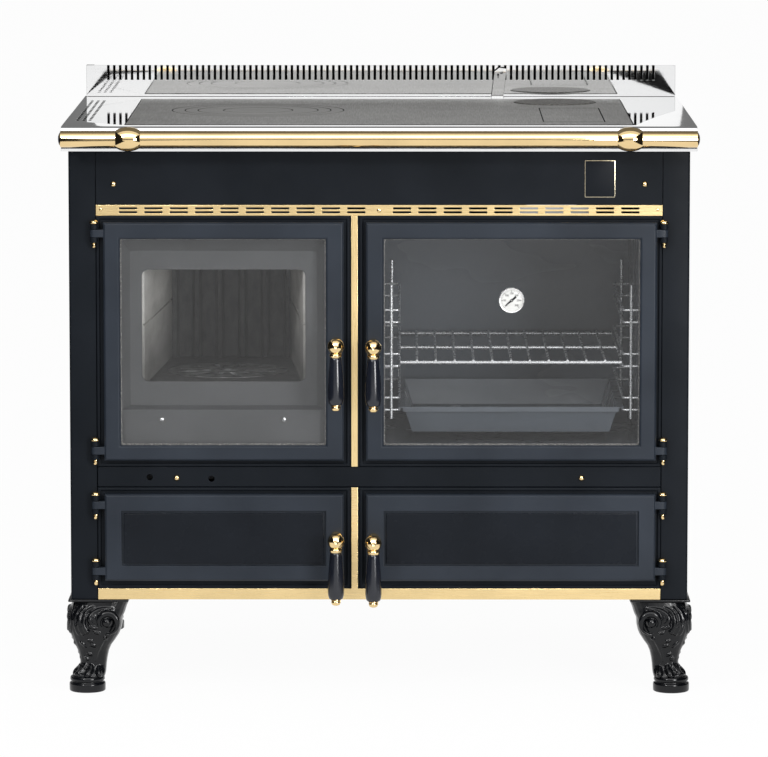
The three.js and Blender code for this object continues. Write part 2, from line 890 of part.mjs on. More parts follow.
// One hob ring: a lip that rests in the rebate outside it and a rebate for the next one in.
function hobRing(outside, inside) {
  const lipRadius = outside - liftPlay;
  const neckRadius = lipRadius - ringLedge - liftPlay;
  const lipUnder = ledgeZ + seat;
  const bottom = hobTop - ringThickness;
  const profile = [
    [inside, hobTop],
    [inside, ledgeZ],
    [inside - ringLedge, ledgeZ],
    [inside - ringLedge, bottom],
    [neckRadius, bottom],
    [neckRadius, lipUnder],
    [lipRadius, lipUnder],
    [lipRadius, hobTop],
    [inside, hobTop],
  ];
  return turnedUp(profile, ringSides, ringCentre.x, ringCentre.y, 0);
}

function roundLid(centre, radius, top, sides) {
  const lipRadius = radius - liftPlay;
  const neckRadius = lipRadius - ringLedge - liftPlay;
  const bottom = hobTop - ringThickness;
  const profile = [
    [0, bottom],
    [neckRadius, bottom],
    [neckRadius, ledgeZ + seat],
    [lipRadius, ledgeZ + seat],
    [lipRadius, top],
    [0, top],
  ];
  return turnedUp(profile, sides, centre.x, centre.y, 0);
}

function cleaningCover() {
  const part = (inset, z0, z1) =>
    box(
      [
        cleaningCoverCentre.x - cleaningCoverWidth / 2 + inset,
        cleaningCoverCentre.x + cleaningCoverWidth / 2 - inset,
      ],
      [
        cleaningCoverCentre.y - cleaningCoverDepth / 2 + inset,
        cleaningCoverCentre.y + cleaningCoverDepth / 2 - inset,
      ],
      [z0, z1],
    );
  return joined(
    part(liftPlay * 2, ledgeZ + seat, hobTop),
    part(ringLedge + liftPlay * 3, hobTop - ringThickness, ledgeZ + 1),
  );
}

// ---------------------------------------------------------------- handrail

function handrail() {
  const end = railHalfLength;
  const half = [
    [railRadius, end],
    [railRadius * 0.6, end + railEndCap * 0.75],
    [0, end + railEndCap],
  ];
  const mirrored = half.map(([radius, x]) => [radius, -x]).reverse();
  return turnedAcross([...mirrored, ...half], 16, 0, railY, railZ);
}

// A barrel that clamps the rail, on a turned post with a rosette against the worktop's edge.
function railBracket(side) {
  const x = side * bracketHalfSpan;
  const bore = railRadius + seat;
  const steps = 4;
  const profile = [];
  for (let i = 0; i <= steps; i += 1) {
    const along = -1 + (2 * i) / steps;
    const bulge = (barrelRadius - bore - 0.8) * Math.sqrt(1 - along * along * 0.98);
    profile.push([bore + 0.8 + bulge, (along * barrelLength) / 2]);
  }
  profile.push([bore, barrelLength / 2], [bore, -barrelLength / 2], profile[0]);
  const barrel = turnedAcross(profile, 16, x, railY, railZ);
  const postStart = railY + (bore + barrelRadius) / 2;
  const post = turnedBack(
    [
      [0, postStart],
      [postRadius, postStart],
      [postRadius, -6],
      [rosetteRadius, -4],
      [rosetteRadius, -seat],
      [0, -seat],
    ],
    12,
    x,
    0,
    railZ,
  );
  return joined(barrel, post);
}

// ---------------------------------------------------------------- legs

// Half width and diagonal place of the leg at each height: plate, scrolled knee, ankle and foot.
const legSections = [
  { z: legHeight - legPlateThickness, half: 46.5, centre: 46, square: 4 },
  { z: 129, half: 46.5, centre: 43, square: 3.4 },
  { z: 112, half: 46, centre: 40.5, square: 2.9 },
  { z: 98, half: 40.5, centre: 40.5, square: 2.7 },
  { z: 79, half: 28.5, centre: 38.5, square: 2.4 },
  { z: 58, half: 21.5, centre: 38, square: 2.2 },
  { z: 44, half: 20.5, centre: 37.5, square: 2 },
  { z: 33, half: 24, centre: 32, square: 2 },
  { z: footHeight, half: 28, centre: 28, square: 2 },
];

// A ring of points of a rounded square, in the leg's own frame with the body's corner at 0, 0.
function legRing({ z, half, centre, square }, count = 8) {
  const ring = [];
  for (let i = 0; i < count; i += 1) {
    const angle = (2 * Math.PI * i) / count;
    const [c, s] = [Math.cos(angle), Math.sin(angle)];
    const reach = (Math.abs(c) ** square + Math.abs(s) ** square) ** (-1 / square);
    ring.push(new THREE.Vector3(centre + half * reach * c, centre + half * reach * s, z));
  }
  return ring;
}

// A scroll that winds in one and a half turns to a round boss, drawn on the leg's front face.
function volute() {
  const turns = 1.1;
  const steps = 6;
  const sides = 4;
  const rings = [];
  const middle = new THREE.Vector3(62, -5, voluteZ);
  for (let i = 0; i <= steps; i += 1) {
    const t = i / steps;
    const angle = Math.PI * 1.15 - turns * 2 * Math.PI * t;
    const swing = voluteRadius * (1 - 0.62 * t);
    const thick = 6.2 - 3 * t;
    const ring = [];
    for (let k = 0; k < sides; k += 1) {
      const around = (2 * Math.PI * k) / sides;
      const reach = swing - thick / 2 + thick * 0.75 * Math.cos(around);
      ring.push(
        new THREE.Vector3(
          middle.x + reach * Math.cos(angle),
          middle.y + 4 + thick * Math.sin(around),
          middle.z + reach * Math.sin(angle),
        ),
      );
    }
    rings.push(ring);
  }
  const boss = turnedBack([[0, -7], [7, -4], [8, 8], [0, 8]], 6, 62, 0, voluteZ);
  return joined(loft(rings), boss);
}

// The other two ways that a piece drawn in the leg's frame can face.
function swapped(body) {
  const mesh = body.getMesh();
  const p = Float32Array.from(mesh.vertProperties);
  for (let i = 0; i < p.length; i += 3) {
    [p[i], p[i + 1]] = [p[i + 1], p[i]];
  }
  return fromArrays(p, mesh.triVerts);
}

function fromArrays(positions, triangles) {
  const geometry = new THREE.BufferGeometry();
  geometry.setAttribute('position', new THREE.BufferAttribute(positions, 3));
  geometry.setIndex(new THREE.BufferAttribute(triangles, 1));
  return solid(geometry);
}

function legBody() {
  const trunk = loft(legSections.map((section) => legRing(section)));
  const pad = turnedUp(
    [
      [0, 0],
      [footRadius - 1, 0],
      [footRadius, 6],
      [footRadius - 1.5, footHeight + 2],
      [0, footHeight + 2],
    ],
    10,
    28,
    28,
    0,
  );
  const plate = box(
    [-legOverhang, legPlate - legOverhang],
    [-legOverhang, legPlate - legOverhang],
    [legHeight - legPlateThickness, legHeight],
  );
  const scroll = volute();
  return joined(trunk, pad, plate, scroll, swapped(scroll));
}

// The same casting at each corner, mirrored so that its knee points outwards.
function leg(drawn, sideX, sideY) {
  const mesh = drawn.getMesh();
  const p = Float32Array.from(mesh.vertProperties);
  const cornerY = sideY < 0 ? bodySetback : bodyRear;
  for (let i = 0; i < p.length; i += 3) {
    p[i] = sideX * (bodyHalf - p[i]);
    p[i + 1] = cornerY - sideY * p[i + 1];
  }
  return fromArrays(p, mesh.triVerts);
}

// ---------------------------------------------------------------- firebox

// The cast front behind the glass: a sunk plate with the fire opening, over a proud lower panel.
function fireboxFront() {
  const rim = 3;
  const plateY = innerFront + frontPlateSetback;
  const block = box(
    [fireboxWindow.x[0] - rim, fireboxWindow.x[1] + rim],
    [innerFront, plateY + frontPlateThickness],
    [fireboxWindow.z[0] - rim, fireboxWindow.z[1] + rim],
  );
  const half = frontPlateWidth / 2;
  const ring = (x0, x1, y, z0, z1) => [
    new THREE.Vector3(x0, y, z0),
    new THREE.Vector3(x1, y, z0),
    new THREE.Vector3(x1, y, z1),
    new THREE.Vector3(x0, y, z1),
  ];
  const sink = loft([
    ring(
      fireboxWindow.x[0],
      fireboxWindow.x[1],
      innerFront - 1,
      frontPlateBottomZ - 6,
      fireboxWindow.z[1],
    ),
    ring(fireboxMid - half, fireboxMid + half, plateY, frontPlateBottomZ, frontPlateTopZ),
  ]);
  const mouth = extrudeBack(
    rectangle(
      [fireboxMid - mouthWidth / 2, fireboxMid + mouthWidth / 2],
      [mouthBottomZ, mouthBottomZ + mouthHeight],
      mouthCorner,
    ),
    innerFront,
    casingFront + 1,
  );
  const behindPanel = box(
    [fireboxWindow.x[0] + rim, fireboxWindow.x[1] - rim],
    [innerFront + 3, casingFront + 1],
    [fireboxWindow.z[0] + rim, frontPlateBottomZ - 9],
  );
  return cut(block, sink, mouth, behindPanel);
}

// Steel box round the fire, open below to the ash pan and above to the smoke way.
function fireboxCasing() {
  const shell = rectangle(casingX, [casingFront, casingRear]);
  shell.holes.push(
    rectangle(
      [casingX[0] + fireboxWall, casingX[1] - fireboxWall],
      [casingFront + fireboxWall, casingRear - fireboxWall],
    ),
  );
  const doorway = box(
    [fireboxMid - mouthWidth / 2 - 5, fireboxMid + mouthWidth / 2 + 5],
    [casingFront - 1, casingFront + fireboxWall + 1],
    [mouthBottomZ - 5, mouthBottomZ + mouthHeight + 5],
  );
  return cut(extrudeUp(shell, ashShaftBottomZ, fireboxTopZ), doorway);
}

// A splayed side lining, one course on another.
function firebrick(side) {
  const wall = side < 0 ? casingX[0] + fireboxWall + seat : casingX[1] - fireboxWall - seat;
  const y0 = casingFront + fireboxWall + seat;
  const y1 = casingRear - fireboxWall - seat - backPlateThickness - ribDepth - seat;
  const plan = outline([
    [wall, y0],
    [wall - side * brickFrontFace, y0],
    [wall - side * brickRearFace, y1],
    [wall, y1],
  ]);
  const body = extrudeUp(plan, fireboxFloorZ + seat, brickTopZ);
  const joint = 3;
  const inner = wall - side * (brickRearFace + 2);
  const course = (brickTopZ - fireboxFloorZ) / 3;
  const joints = [1, 2].map((level) => {
    const z = fireboxFloorZ + course * level;
    const face = wall - side * (brickFrontFace - joint);
    const groove = outline([
      [face, y0 - 1],
      [inner, y0 - 1],
      [inner, y1 + 1],
      [wall - side * (brickRearFace - joint), y1 + 1],
    ]);
    return extrudeUp(groove, z - joint / 2, z + joint / 2);
  });
  return cut(body, ...joints);
}

// The cast back with upright ribs.
function fireboxBack() {
  const rear = casingRear - fireboxWall - seat;
  const face = rear - backPlateThickness;
  const half = (casingX[1] - casingX[0]) / 2 - fireboxWall - seat;
  const points = [[-half, rear], [-half, face]];
  for (let i = 0; i < ribCount; i += 1) {
    const x = (i - (ribCount - 1) / 2) * ribPitch;
    points.push(
      [x - ribWidth / 2, face],
      [x - ribWidth / 4, face - ribDepth],
      [x + ribWidth / 4, face - ribDepth],
      [x + ribWidth / 2, face],
    );
  }
  points.push([half, face], [half, rear]);
  const plan = outline(points.map(([x, y]) => [x + fireboxMid, y]));
  return extrudeUp(plan, fireboxFloorZ + seat, brickTopZ + 8);
}

function fireboxFloor() {
  const play = fireboxWall + seat;
  const plate = box(
    [casingX[0] + play, casingX[1] - play],
    [casingFront + play, casingRear - play],
    [fireboxFloorZ - fireboxFloorThickness, fireboxFloorZ],
  );
  const { x, y } = grateCentre;
  const ledge = fireboxFloorZ - grateThickness / 2;
  return cut(
    plate,
    disc(grateRadius, ledge, fireboxFloorZ + 1, 24, x, y),
    disc(grateRadius - 7, fireboxFloorZ - fireboxFloorThickness - 1, ledge + 1, 24, x, y),
  );
}

// Round cast grate with two rings of radial slots.
function grate() {
  const { x, y } = grateCentre;
  const radius = grateRadius - liftPlay * 2;
  const bottom = fireboxFloorZ - grateThickness;
  const top = fireboxFloorZ + 1;
  const lip = fireboxFloorZ - grateThickness / 2 + seat;
  const blank = turnedUp(
    [[0, bottom], [radius - 8, bottom], [radius - 8, lip], [radius, lip], [radius, top], [0, top]],
    24,
    x,
    y,
    0,
  );
  const slots = [];
  for (let i = 0; i < grateSlots; i += 1) {
    const angle = (2 * Math.PI * (i + 0.5)) / grateSlots;
    const slot = new THREE.BoxGeometry(52, 11, grateThickness * 3);
    slot.translate(55, 0, 0).rotateZ(angle).translate(x, y, fireboxFloorZ);
    slots.push(solid(slot));
  }
  slots.push(disc(14, bottom - 1, top + 1, 12, x, y));
  return cut(blank, ...slots);
}

// ---------------------------------------------------------------- oven

function ovenLiner() {
  const wall = innerSheet;
  const outer = box(
    [ovenX[0] - wall, ovenX[1] + wall],
    [innerFront, ovenBack + wall],
    [ovenZ[0] - wall, ovenZ[1] + wall],
  );
  const flange = box(
    [ovenX[0] - ovenFlange, ovenX[1] + ovenFlange],
    [innerFront, innerFront + wall],
    [ovenZ[0] - ovenFlange, ovenZ[1] + ovenFlange],
  );
  return cut(joined(outer, flange), box(ovenX, [innerFront - 1, ovenBack], ovenZ));
}

const rungHeights = [];
for (let pair = 0; pair < rungPairs; pair += 1) {
  const top = rungTopZ - pair * rungPairPitch;
  rungHeights.push(top, top - rungPairGap);
}

// A ladder of bent wire rungs welded to upright wires, hung on one oven wall.
function ovenRack(side) {
  const wall = side < 0 ? ovenX[0] + seat : ovenX[1] - seat;
  const inner = wall - side * rackInset;
  const y0 = innerFront + rackFront;
  const y1 = ovenBack - rackRear;
  const rungs = rungHeights.map((z) =>
    wire(
      [
        new THREE.Vector3(wall, y0, z),
        new THREE.Vector3(inner, y0, z),
        new THREE.Vector3(inner, y1, z),
        new THREE.Vector3(wall, y1, z),
      ],
      rackWireRadius,
      4,
    ),
  );
  const postX = wall - side * (rackInset / 2);
  const low = rungHeights.at(-1) - 14;
  const high = rungHeights[0] + 40;
  const posts = [y0 - rackWireRadius, y1 + rackWireRadius].map((y) =>
    disc(postWireRadius, low, high, 4, postX, y),
  );
  return joined(...rungs, ...posts);
}

const shelfRungZ = rungHeights[3];
const trayRungZ = rungHeights[5];
const shelfX = [
  ovenX[0] + seat + rackInset - rackWireRadius,
  ovenX[1] - seat - rackInset + rackWireRadius,
];

// Wire shelf: three cross bars that lie on the rungs, with long wires welded on top.
function ovenShelf() {
  const z = shelfRungZ + rackWireRadius + seat + shelfBarRadius;
  const y0 = innerFront + rackFront + 6;
  const middle = (shelfX[0] + shelfX[1]) / 2;
  const half = (shelfX[1] - shelfX[0]) / 2;
  const bars = [0, 0.5, 1].map((t) => {
    const y = y0 + t * (shelfDepth - 2 * shelfBarRadius);
    return turnedAcross(
      [[0, -half], [shelfBarRadius, -half], [shelfBarRadius, half], [0, half]],
      4,
      middle,
      y,
      z,
    );
  });
  const wires = [];
  for (let i = 0; i < shelfWires; i += 1) {
    const x = middle + (i - (shelfWires - 1) / 2) * shelfWirePitch;
    const top = z + shelfBarRadius;
    wires.push(rod(shelfWireRadius, y0 - 4, y0 + shelfDepth - 4, 4, x, top));
  }
  return joined(...bars, ...wires);
}

// Enamelled drip tray: tapered pan under a flat rim that hangs on the lowest rungs.
function dripTray() {
  const rimUnder = trayRungZ + rackWireRadius + seat;
  const rimTop = rimUnder + 1.6;
  const y0 = innerFront + rackFront + 6;
  const y1 = y0 + trayDepth;
  const well = [shelfX[0] + 11, shelfX[1] - 11];
  const floor = rimTop - trayHeight;
  const pan = (grow, top, bottom) => {
    const ring = (inset, z) => [
      new THREE.Vector3(well[0] + inset, y0 + 4 + inset, z),
      new THREE.Vector3(well[1] - inset, y0 + 4 + inset, z),
      new THREE.Vector3(well[1] - inset, y1 - 4 - inset, z),
      new THREE.Vector3(well[0] + inset, y1 - 4 - inset, z),
    ];
    return loft([ring(trayTaper - grow, bottom), ring(-grow, top)]);
  };
  const rim = box(shelfX, [y0, y1], [rimUnder, rimTop]);
  const lip = box([well[0] - 3, well[1] + 3], [y0 - 1, y0 + 1], [rimTop - trayLip, rimTop]);
  return cut(joined(rim, lip, pan(1.6, rimTop, floor)), pan(0, rimTop + 0.01, floor + 1.6));
}

// ---------------------------------------------------------------- ash pan, flue, damper

function ashPan() {
  const x = [leftDoorX[0] + 8 + ashPanSideGap, leftDoorX[1] - 30 - ashPanSideGap];
  const y = [bodySetback + ashPanSetback, bodySetback + ashPanSetback + ashPanDepth];
  const z = [cabinetFloor + seat, cabinetFloor + seat + ashPanHeight];
  const wall = innerSheet;
  const tray = cut(
    box(x, y, z),
    box([x[0] + wall, x[1] - wall], [y[0] + wall, y[1] - wall], [z[0] + wall, z[1] + 1]),
  );
  const middle = (x[0] + x[1]) / 2;
  const pullZ = (z[0] + z[1]) / 2 + 6;
  const pull = wire(
    [
      new THREE.Vector3(middle - 45, y[0] + 1, pullZ),
      new THREE.Vector3(middle - 45, y[0] - 10, pullZ),
      new THREE.Vector3(middle + 45, y[0] - 10, pullZ),
      new THREE.Vector3(middle + 45, y[0] + 1, pullZ),
    ],
    3,
    6,
  );
  return joined(tray, pull);
}

// Round outlet with a bolting flange on the back panel.
function flueCollar() {
  const rear = bodyRear + seat + innerSheet + seat;
  const outer = collarBore + collarWall;
  const profile = [
    [collarBore, rear - 12],
    [outer, rear - 12],
    [outer, rear],
    [collarFlange, rear],
    [collarFlange, rear + 3],
    [outer, rear + 3],
    [outer, rear + collarLength],
    [collarBore, rear + collarLength],
    [collarBore, rear - 12],
  ];
  return turnedBack(profile, 20, collarCentre.x, 0, collarCentre.y);
}

// Flat pull strip with one clipped corner and a hook hole, riveted to the gate in the smoke way.
function damperSlide() {
  const half = damperWidth / 2;
  const gate = damperGateWidth / 2;
  const shape = outline([
    [-half, -damperStem],
    [-gate, -damperStem],
    [-gate, -damperStem - damperGateHeight],
    [gate, -damperStem - damperGateHeight],
    [gate, -damperStem],
    [half, -damperStem],
    [half, damperRise],
    [-half + 7, damperRise],
    [-half, damperRise - 7],
  ]);
  shape.holes.push(circle(2, damperRise - 8, damperHoleRadius, 10));
  const y = upstandFront - damperFromUpstand;
  const geometry = new THREE.ExtrudeGeometry(shape, {
    depth: damperThickness,
    bevelEnabled: false,
  });
  geometry.rotateX(Math.PI / 2).translate(0, y + damperThickness / 2, 0);
  geometry.rotateY(damperLean).translate(damperX, 0, worktopTop);
  return solid(geometry);
}

// ---------------------------------------------------------------- doors

// An ear on the door's edge with a gudgeon that turns in the lugs above and below it.
function doorEar(door, z) {
  const edge = door.side < 0 ? door.x[0] + 4 : door.x[1] - 4;
  const half = earHeight / 2;
  const reach = half + turningPlay + lugHeight;
  const plan = outline([
    [edge, hingeY + earThickness / 2],
    ...knuckle(door.side, -Math.PI / 2, Math.PI / 2, 5),
    [edge, hingeY - earThickness / 2],
  ]);
  return joined(
    extrudeUp(plan, z - half, z + half),
    disc(pinRadius, z - reach, z + reach, 8, door.side * hingeX, hingeY),
  );
}

// The bevelled leaf with its ears and the hole for the handle's spindle.
function doorLeaf(door) {
  const blank = bevelledPlate(door.x, door.z, doorFront, doorRear, doorBevel);
  const spindleHole = rod(
    spindleRadius + turningPlay,
    doorFront - 1,
    doorRear + 1,
    8,
    handleX(door),
    door.handleZ,
  );
  return cut(joined(blank, ...earHeights(door).map((z) => doorEar(door, z))), spindleHole);
}

// A door with a window: bevelled frame with a rebate behind for the pane and its rope seal.
function glazedDoor(door) {
  const clear = windowOf(door);
  const rebate = box(
    [clear.x[0] - glassRebate, clear.x[1] + glassRebate],
    [paneFront - seat, doorRear + 1],
    [clear.z[0] - glassRebate, clear.z[1] + glassRebate],
  );
  return cut(
    doorLeaf(door),
    bevelledWindow(clear.x, clear.z, doorFront, doorRear, doorBevel),
    rebate,
  );
}

function pane(door) {
  const clear = windowOf(door);
  const lap = glassRebate - glassPlay;
  const x = [clear.x[0] - lap, clear.x[1] + lap];
  return box(x, [paneFront, paneRear], [clear.z[0] - lap, clear.z[1] + lap]);
}

// The rope seal that holds the pane and closes on the frame.
function gasket(door) {
  const clear = windowOf(door);
  const lap = glassRebate - glassPlay;
  const ring = rectangle([clear.x[0] - lap, clear.x[1] + lap], [clear.z[0] - lap, clear.z[1] + lap]);
  ring.holes.push(rectangle(clear.x, clear.z));
  return extrudeBack(ring, paneRear + seat, bodySetback - seat);
}

// A solid lower door with a sunk line round its raised panel.
function panelledDoor(door) {
  const clear = windowOf(door);
  const groove = rectangle(clear.x, clear.z);
  groove.holes.push(
    rectangle(
      [clear.x[0] + panelGroove, clear.x[1] - panelGroove],
      [clear.z[0] + panelGroove, clear.z[1] - panelGroove],
    ),
  );
  return cut(
    doorLeaf(door),
    extrudeBack(groove, doorFront - 1, doorFront + panelGrooveDepth),
  );
}

// ---------------------------------------------------------------- handles

// Brass ball on a spindle through the door, and the collar, core and cap of the grip.
function handle(door) {
  const x = handleX(door);
  const z = door.handleZ;
  const ball = new THREE.SphereGeometry(ballRadius, 8, 6).rotateX(Math.PI / 2);
  ball.translate(x, ballY, z);
  const tip = doorRear - seat;
  const neck = turnedBack(
    [
      [0, ballY],
      [spindleRadius, ballY],
      [spindleRadius, doorFront - 5],
      [spindleRadius + 3, doorFront - seat],
      [spindleRadius, doorFront - seat],
      [spindleRadius, tip],
      [0, tip],
    ],
    6,
    x,
    0,
    z,
  );
  const collarTop = -ballRadius + 2;
  const collarBottom = -ballRadius - collarHeight + 4;
  const gripBottom = collarBottom - gripLength;
  const core = turnedUp(
    [
      [0, gripBottom - endCapHeight],
      [endCapRadius - 3, gripBottom - endCapHeight + 1],
      [endCapRadius, gripBottom - 3],
      [endCapRadius, gripBottom - seat],
      [gripCoreRadius, gripBottom - seat],
      [gripCoreRadius, collarBottom],
      [collarRadius, collarBottom],
      [collarRadius - 2, collarTop],
      [0, collarTop + 4],
    ],
    8,
    x,
    ballY,
    z,
  );
  return joined(solid(ball), neck, core);
}

// Black grip, slim under the collar and fuller below, bored for the core.
function grip(door) {
  const top = -ballRadius - collarHeight + 4 - seat;
  const bottom = top - gripLength + seat;
  const bore = gripCoreRadius + seat;
  const at = (t) => bottom + t * (top - bottom);
  const profile = [
    [bore, at(0)],
    [gripRadius * 0.8, at(0)],
    [gripRadius, at(0.14)],
    [gripRadius * 0.97, at(0.42)],
    [gripTopRadius, at(0.95)],
    [bore, at(1)],
    [bore, at(0)],
  ];
  return turnedUp(profile, 10, handleX(door), ballY, door.handleZ);
}

// ---------------------------------------------------------------- thermometer

// Round case in front of the oven glass, clamped through it by a threaded stem and a nut behind.
function thermometer() {
  const face = paneFront - seat;
  const front = face - dialDepth;
  const profile = [
    [0, front + dialRecess],
    [dialRadius - dialRim, front + dialRecess],
    [dialRadius - dialRim, front],
    [dialRadius, front + 0.6],
    [dialRadius, face],
    [stemRadius, face],
    [stemRadius, paneRear + seat],
    [stemRadius + 5, paneRear + seat],
    [stemRadius + 5, paneRear + 5],
    [0, paneRear + 5],
  ];
  const pivot = rod(1, front + 1.2, front + dialRecess + 1, 6, dialX, dialZ);
  return joined(turnedBack(profile, 16, dialX, 0, dialZ), pivot);
}

function ovenPane() {
  const hole = rod(stemRadius + seat, paneFront - 1, paneRear + 1, 16, dialX, dialZ);
  return cut(pane(ovenDoor), hole);
}

// Tapered pointer with a broad tail, turning on the pivot above the dial.
function thermometerNeedle() {
  const front = paneFront - seat - dialDepth + 1.4;
  const shape = outline([
    [needleLength, -0.4],
    [needleLength, 0.4],
    [2.4, 1.5],
    [0, 2.6],
    [-2.4, 1.5],
    [-needleTail, 1.7],
    [-needleTail, -1.7],
    [-2.4, -1.5],
    [0, -2.6],
    [2.4, -1.5],
  ]);
  shape.holes.push(circle(0, 0, 1 + seat, 6));
  const geometry = new THREE.ExtrudeGeometry(shape, { depth: 0.8, bevelEnabled: false });
  geometry.rotateZ(needleAngle).rotateX(Math.PI / 2).translate(dialX, front + 0.8, dialZ);
  return solid(geometry);
}

// ---------------------------------------------------------------- the stove

place('left_side_panel', sidePanel(-1), satinBlack());
place('right_side_panel', sidePanel(1), satinBlack());
place('back_panel', backPanel(), zincSheet());
place('lower_cabinet', lowerCabinet(), satinBlack());
place('fascia', fascia(), satinBlack());
place('upper_front_frame', upperFrontFrame(), satinBlack());
place('middle_rail', middleRail(), satinBlack());
place('lower_front_frame', lowerFrontFrame(), satinBlack());
place('vent_strip', ventStrip(), satinBrass());
place('centre_strip', centreStrip(), satinBrass());
place('bottom_strip', bottomStrip(), satinBrass());

place('worktop', worktop(), stainless());
place('upstand', upstand(), stainless());
place('hob_plate', hobPlate(), groundSteel());
place('hob_ring_outer', hobRing(ringRadii[0], ringRadii[1]), groundSteel());
place('hob_ring_middle', hobRing(ringRadii[1], ringRadii[2]), groundSteel());
place('hob_ring_inner', hobRing(ringRadii[2], ringRadii[3]), groundSteel());
place('hob_lid', roundLid(ringCentre, ringRadii[3], hobTop, ringSides), groundSteel());
place('flue_cover', roundLid(flueCoverCentre, flueCoverRadius, hobTop + flueCoverProud, 20), roughIron());
place('cleaning_cover', cleaningCover(), groundSteel());

place('handrail', handrail(), polishedBrass());
place('left_rail_bracket', railBracket(-1), polishedBrass());
place('right_rail_bracket', railBracket(1), polishedBrass());

const drawnLeg = legBody();
place('front_left_leg', leg(drawnLeg, -1, -1), castBlack());
place('front_right_leg', leg(drawnLeg, 1, -1), castBlack());
place('rear_left_leg', leg(drawnLeg, -1, 1), castBlack());
place('rear_right_leg', leg(drawnLeg, 1, 1), castBlack());

place('firebox_front', fireboxFront(), greySteel());
place('firebox_casing', fireboxCasing(), greySteel());
place('left_firebrick', firebrick(-1), firebrickBuff());
place('right_firebrick', firebrick(1), firebrickBuff());
place('firebox_back', fireboxBack(), castIron());
place('firebox_floor', fireboxFloor(), castIron());
place('grate', grate(), castIron());

place('oven_liner', ovenLiner(), darkEnamel());
place('left_oven_rack', ovenRack(-1), chromedWire());
place('right_oven_rack', ovenRack(1), chromedWire());
place('oven_shelf', ovenShelf(), chromedWire());
place('drip_tray', dripTray(), darkEnamel());

place('ash_pan', ashPan(), zincSheet());
place('flue_collar', flueCollar(), satinBlack());
place('damper_slide', damperSlide(), stainless());

place('firebox_door', glazedDoor(fireboxDoor), doorBlack());
place('firebox_glass', pane(fireboxDoor), glass());
place('firebox_gasket', gasket(fireboxDoor), glassRope());
place('oven_door', glazedDoor(ovenDoor), doorBlack());
place('oven_glass', ovenPane(), glass());
place('oven_gasket', gasket(ovenDoor), glassRope());
place('lower_left_door', panelledDoor(lowerLeftDoor), doorBlack());
place('lower_right_door', panelledDoor(lowerRightDoor), doorBlack());

place('firebox_handle', handle(fireboxDoor), polishedBrass());
place('firebox_grip', grip(fireboxDoor), doorBlack());
place('oven_handle', handle(ovenDoor), polishedBrass());
place('oven_grip', grip(ovenDoor), doorBlack());
place('lower_left_handle', handle(lowerLeftDoor), polishedBrass());
place('lower_left_grip', grip(lowerLeftDoor), doorBlack());
place('lower_right_handle', handle(lowerRightDoor), polishedBrass());
place('lower_right_grip', grip(lowerRightDoor), doorBlack());

place('thermometer', thermometer(), dialWhite());
place('thermometer_needle', thermometerNeedle(), needleBlack());

// Centre front to back between the rail's barrels and the end of the flue collar.
const frontReach = railForward + barrelRadius;
const rearReach = bodyRear + seat + innerSheet + seat + collarLength;
stove.position.y = -(rearReach - frontReach) / 2;

export default stove;
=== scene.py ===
# %% [markdown]
# # A wood cookstove, dressed in Blender
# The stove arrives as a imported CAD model: sixty solids in one frame, in metres, with +Z up and the
# doors facing -Y. This file gives every surface its finish and swaps the plain round pieces for
# smooth ones. It never moves a CAD solid, so doors and lids keep turning about their real hinges.

# %% Load the CAD frame
import json
import math

import bmesh
import bpy
from mathutils import Matrix, Vector

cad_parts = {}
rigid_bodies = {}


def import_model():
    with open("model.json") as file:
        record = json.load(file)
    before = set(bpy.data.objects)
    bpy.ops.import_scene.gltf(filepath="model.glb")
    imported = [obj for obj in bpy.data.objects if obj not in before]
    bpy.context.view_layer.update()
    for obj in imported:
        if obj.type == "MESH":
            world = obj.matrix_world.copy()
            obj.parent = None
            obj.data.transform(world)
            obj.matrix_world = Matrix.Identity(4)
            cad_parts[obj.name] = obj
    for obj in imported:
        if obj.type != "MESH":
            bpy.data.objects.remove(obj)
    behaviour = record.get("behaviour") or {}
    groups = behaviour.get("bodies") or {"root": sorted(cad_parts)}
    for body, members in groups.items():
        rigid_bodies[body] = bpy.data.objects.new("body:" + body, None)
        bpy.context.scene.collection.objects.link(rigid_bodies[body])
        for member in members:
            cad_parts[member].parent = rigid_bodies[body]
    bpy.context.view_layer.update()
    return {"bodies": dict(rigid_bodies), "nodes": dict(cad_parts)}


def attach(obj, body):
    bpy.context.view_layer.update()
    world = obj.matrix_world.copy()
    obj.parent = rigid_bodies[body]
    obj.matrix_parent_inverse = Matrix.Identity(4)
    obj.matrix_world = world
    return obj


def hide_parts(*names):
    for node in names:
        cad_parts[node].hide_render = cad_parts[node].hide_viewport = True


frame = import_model()
nodes = frame["nodes"]

MM = 0.001
CENTRE_BACK = 318.65  # the worktop's front edge lies this far in front of the frame's origin, mm
SIDES = (("left", -1), ("right", 1))


def at(x, y, z):
    """A point given in millimetres, with y measured back from the worktop's front edge."""
    return Vector((x * MM, (y - CENTRE_BACK) * MM, z * MM))


# %% [markdown]
# The camera comes first, because everything else is judged through it. The photograph was taken
# from far away with a long lens, so the sides of the stove hardly converge. A lens of about 260 mm
# on a 36 mm sensor, nine metres off and tipped seven degrees down, gives the same picture.

# %% Camera
camera_data = bpy.data.cameras.new("camera")
camera_data.lens = 259.2
camera_data.sensor_width = 36
camera_data.clip_end = 200
camera = bpy.data.objects.new("camera", camera_data)
camera.location = (0.038, -8.9857, 1.576)
camera.rotation_euler = (math.radians(90 - 7.03), 0, math.radians(0.2))
bpy.context.scene.collection.objects.link(camera)
bpy.context.scene.camera = camera
print("camera at", tuple(round(v, 3) for v in camera.location))

# %% [markdown]
# Light and finishes are both made of shader nodes. These helpers keep their trees short: arithmetic,
# an empty material, and a surface blended from two shaders.

# %% Helpers for node trees


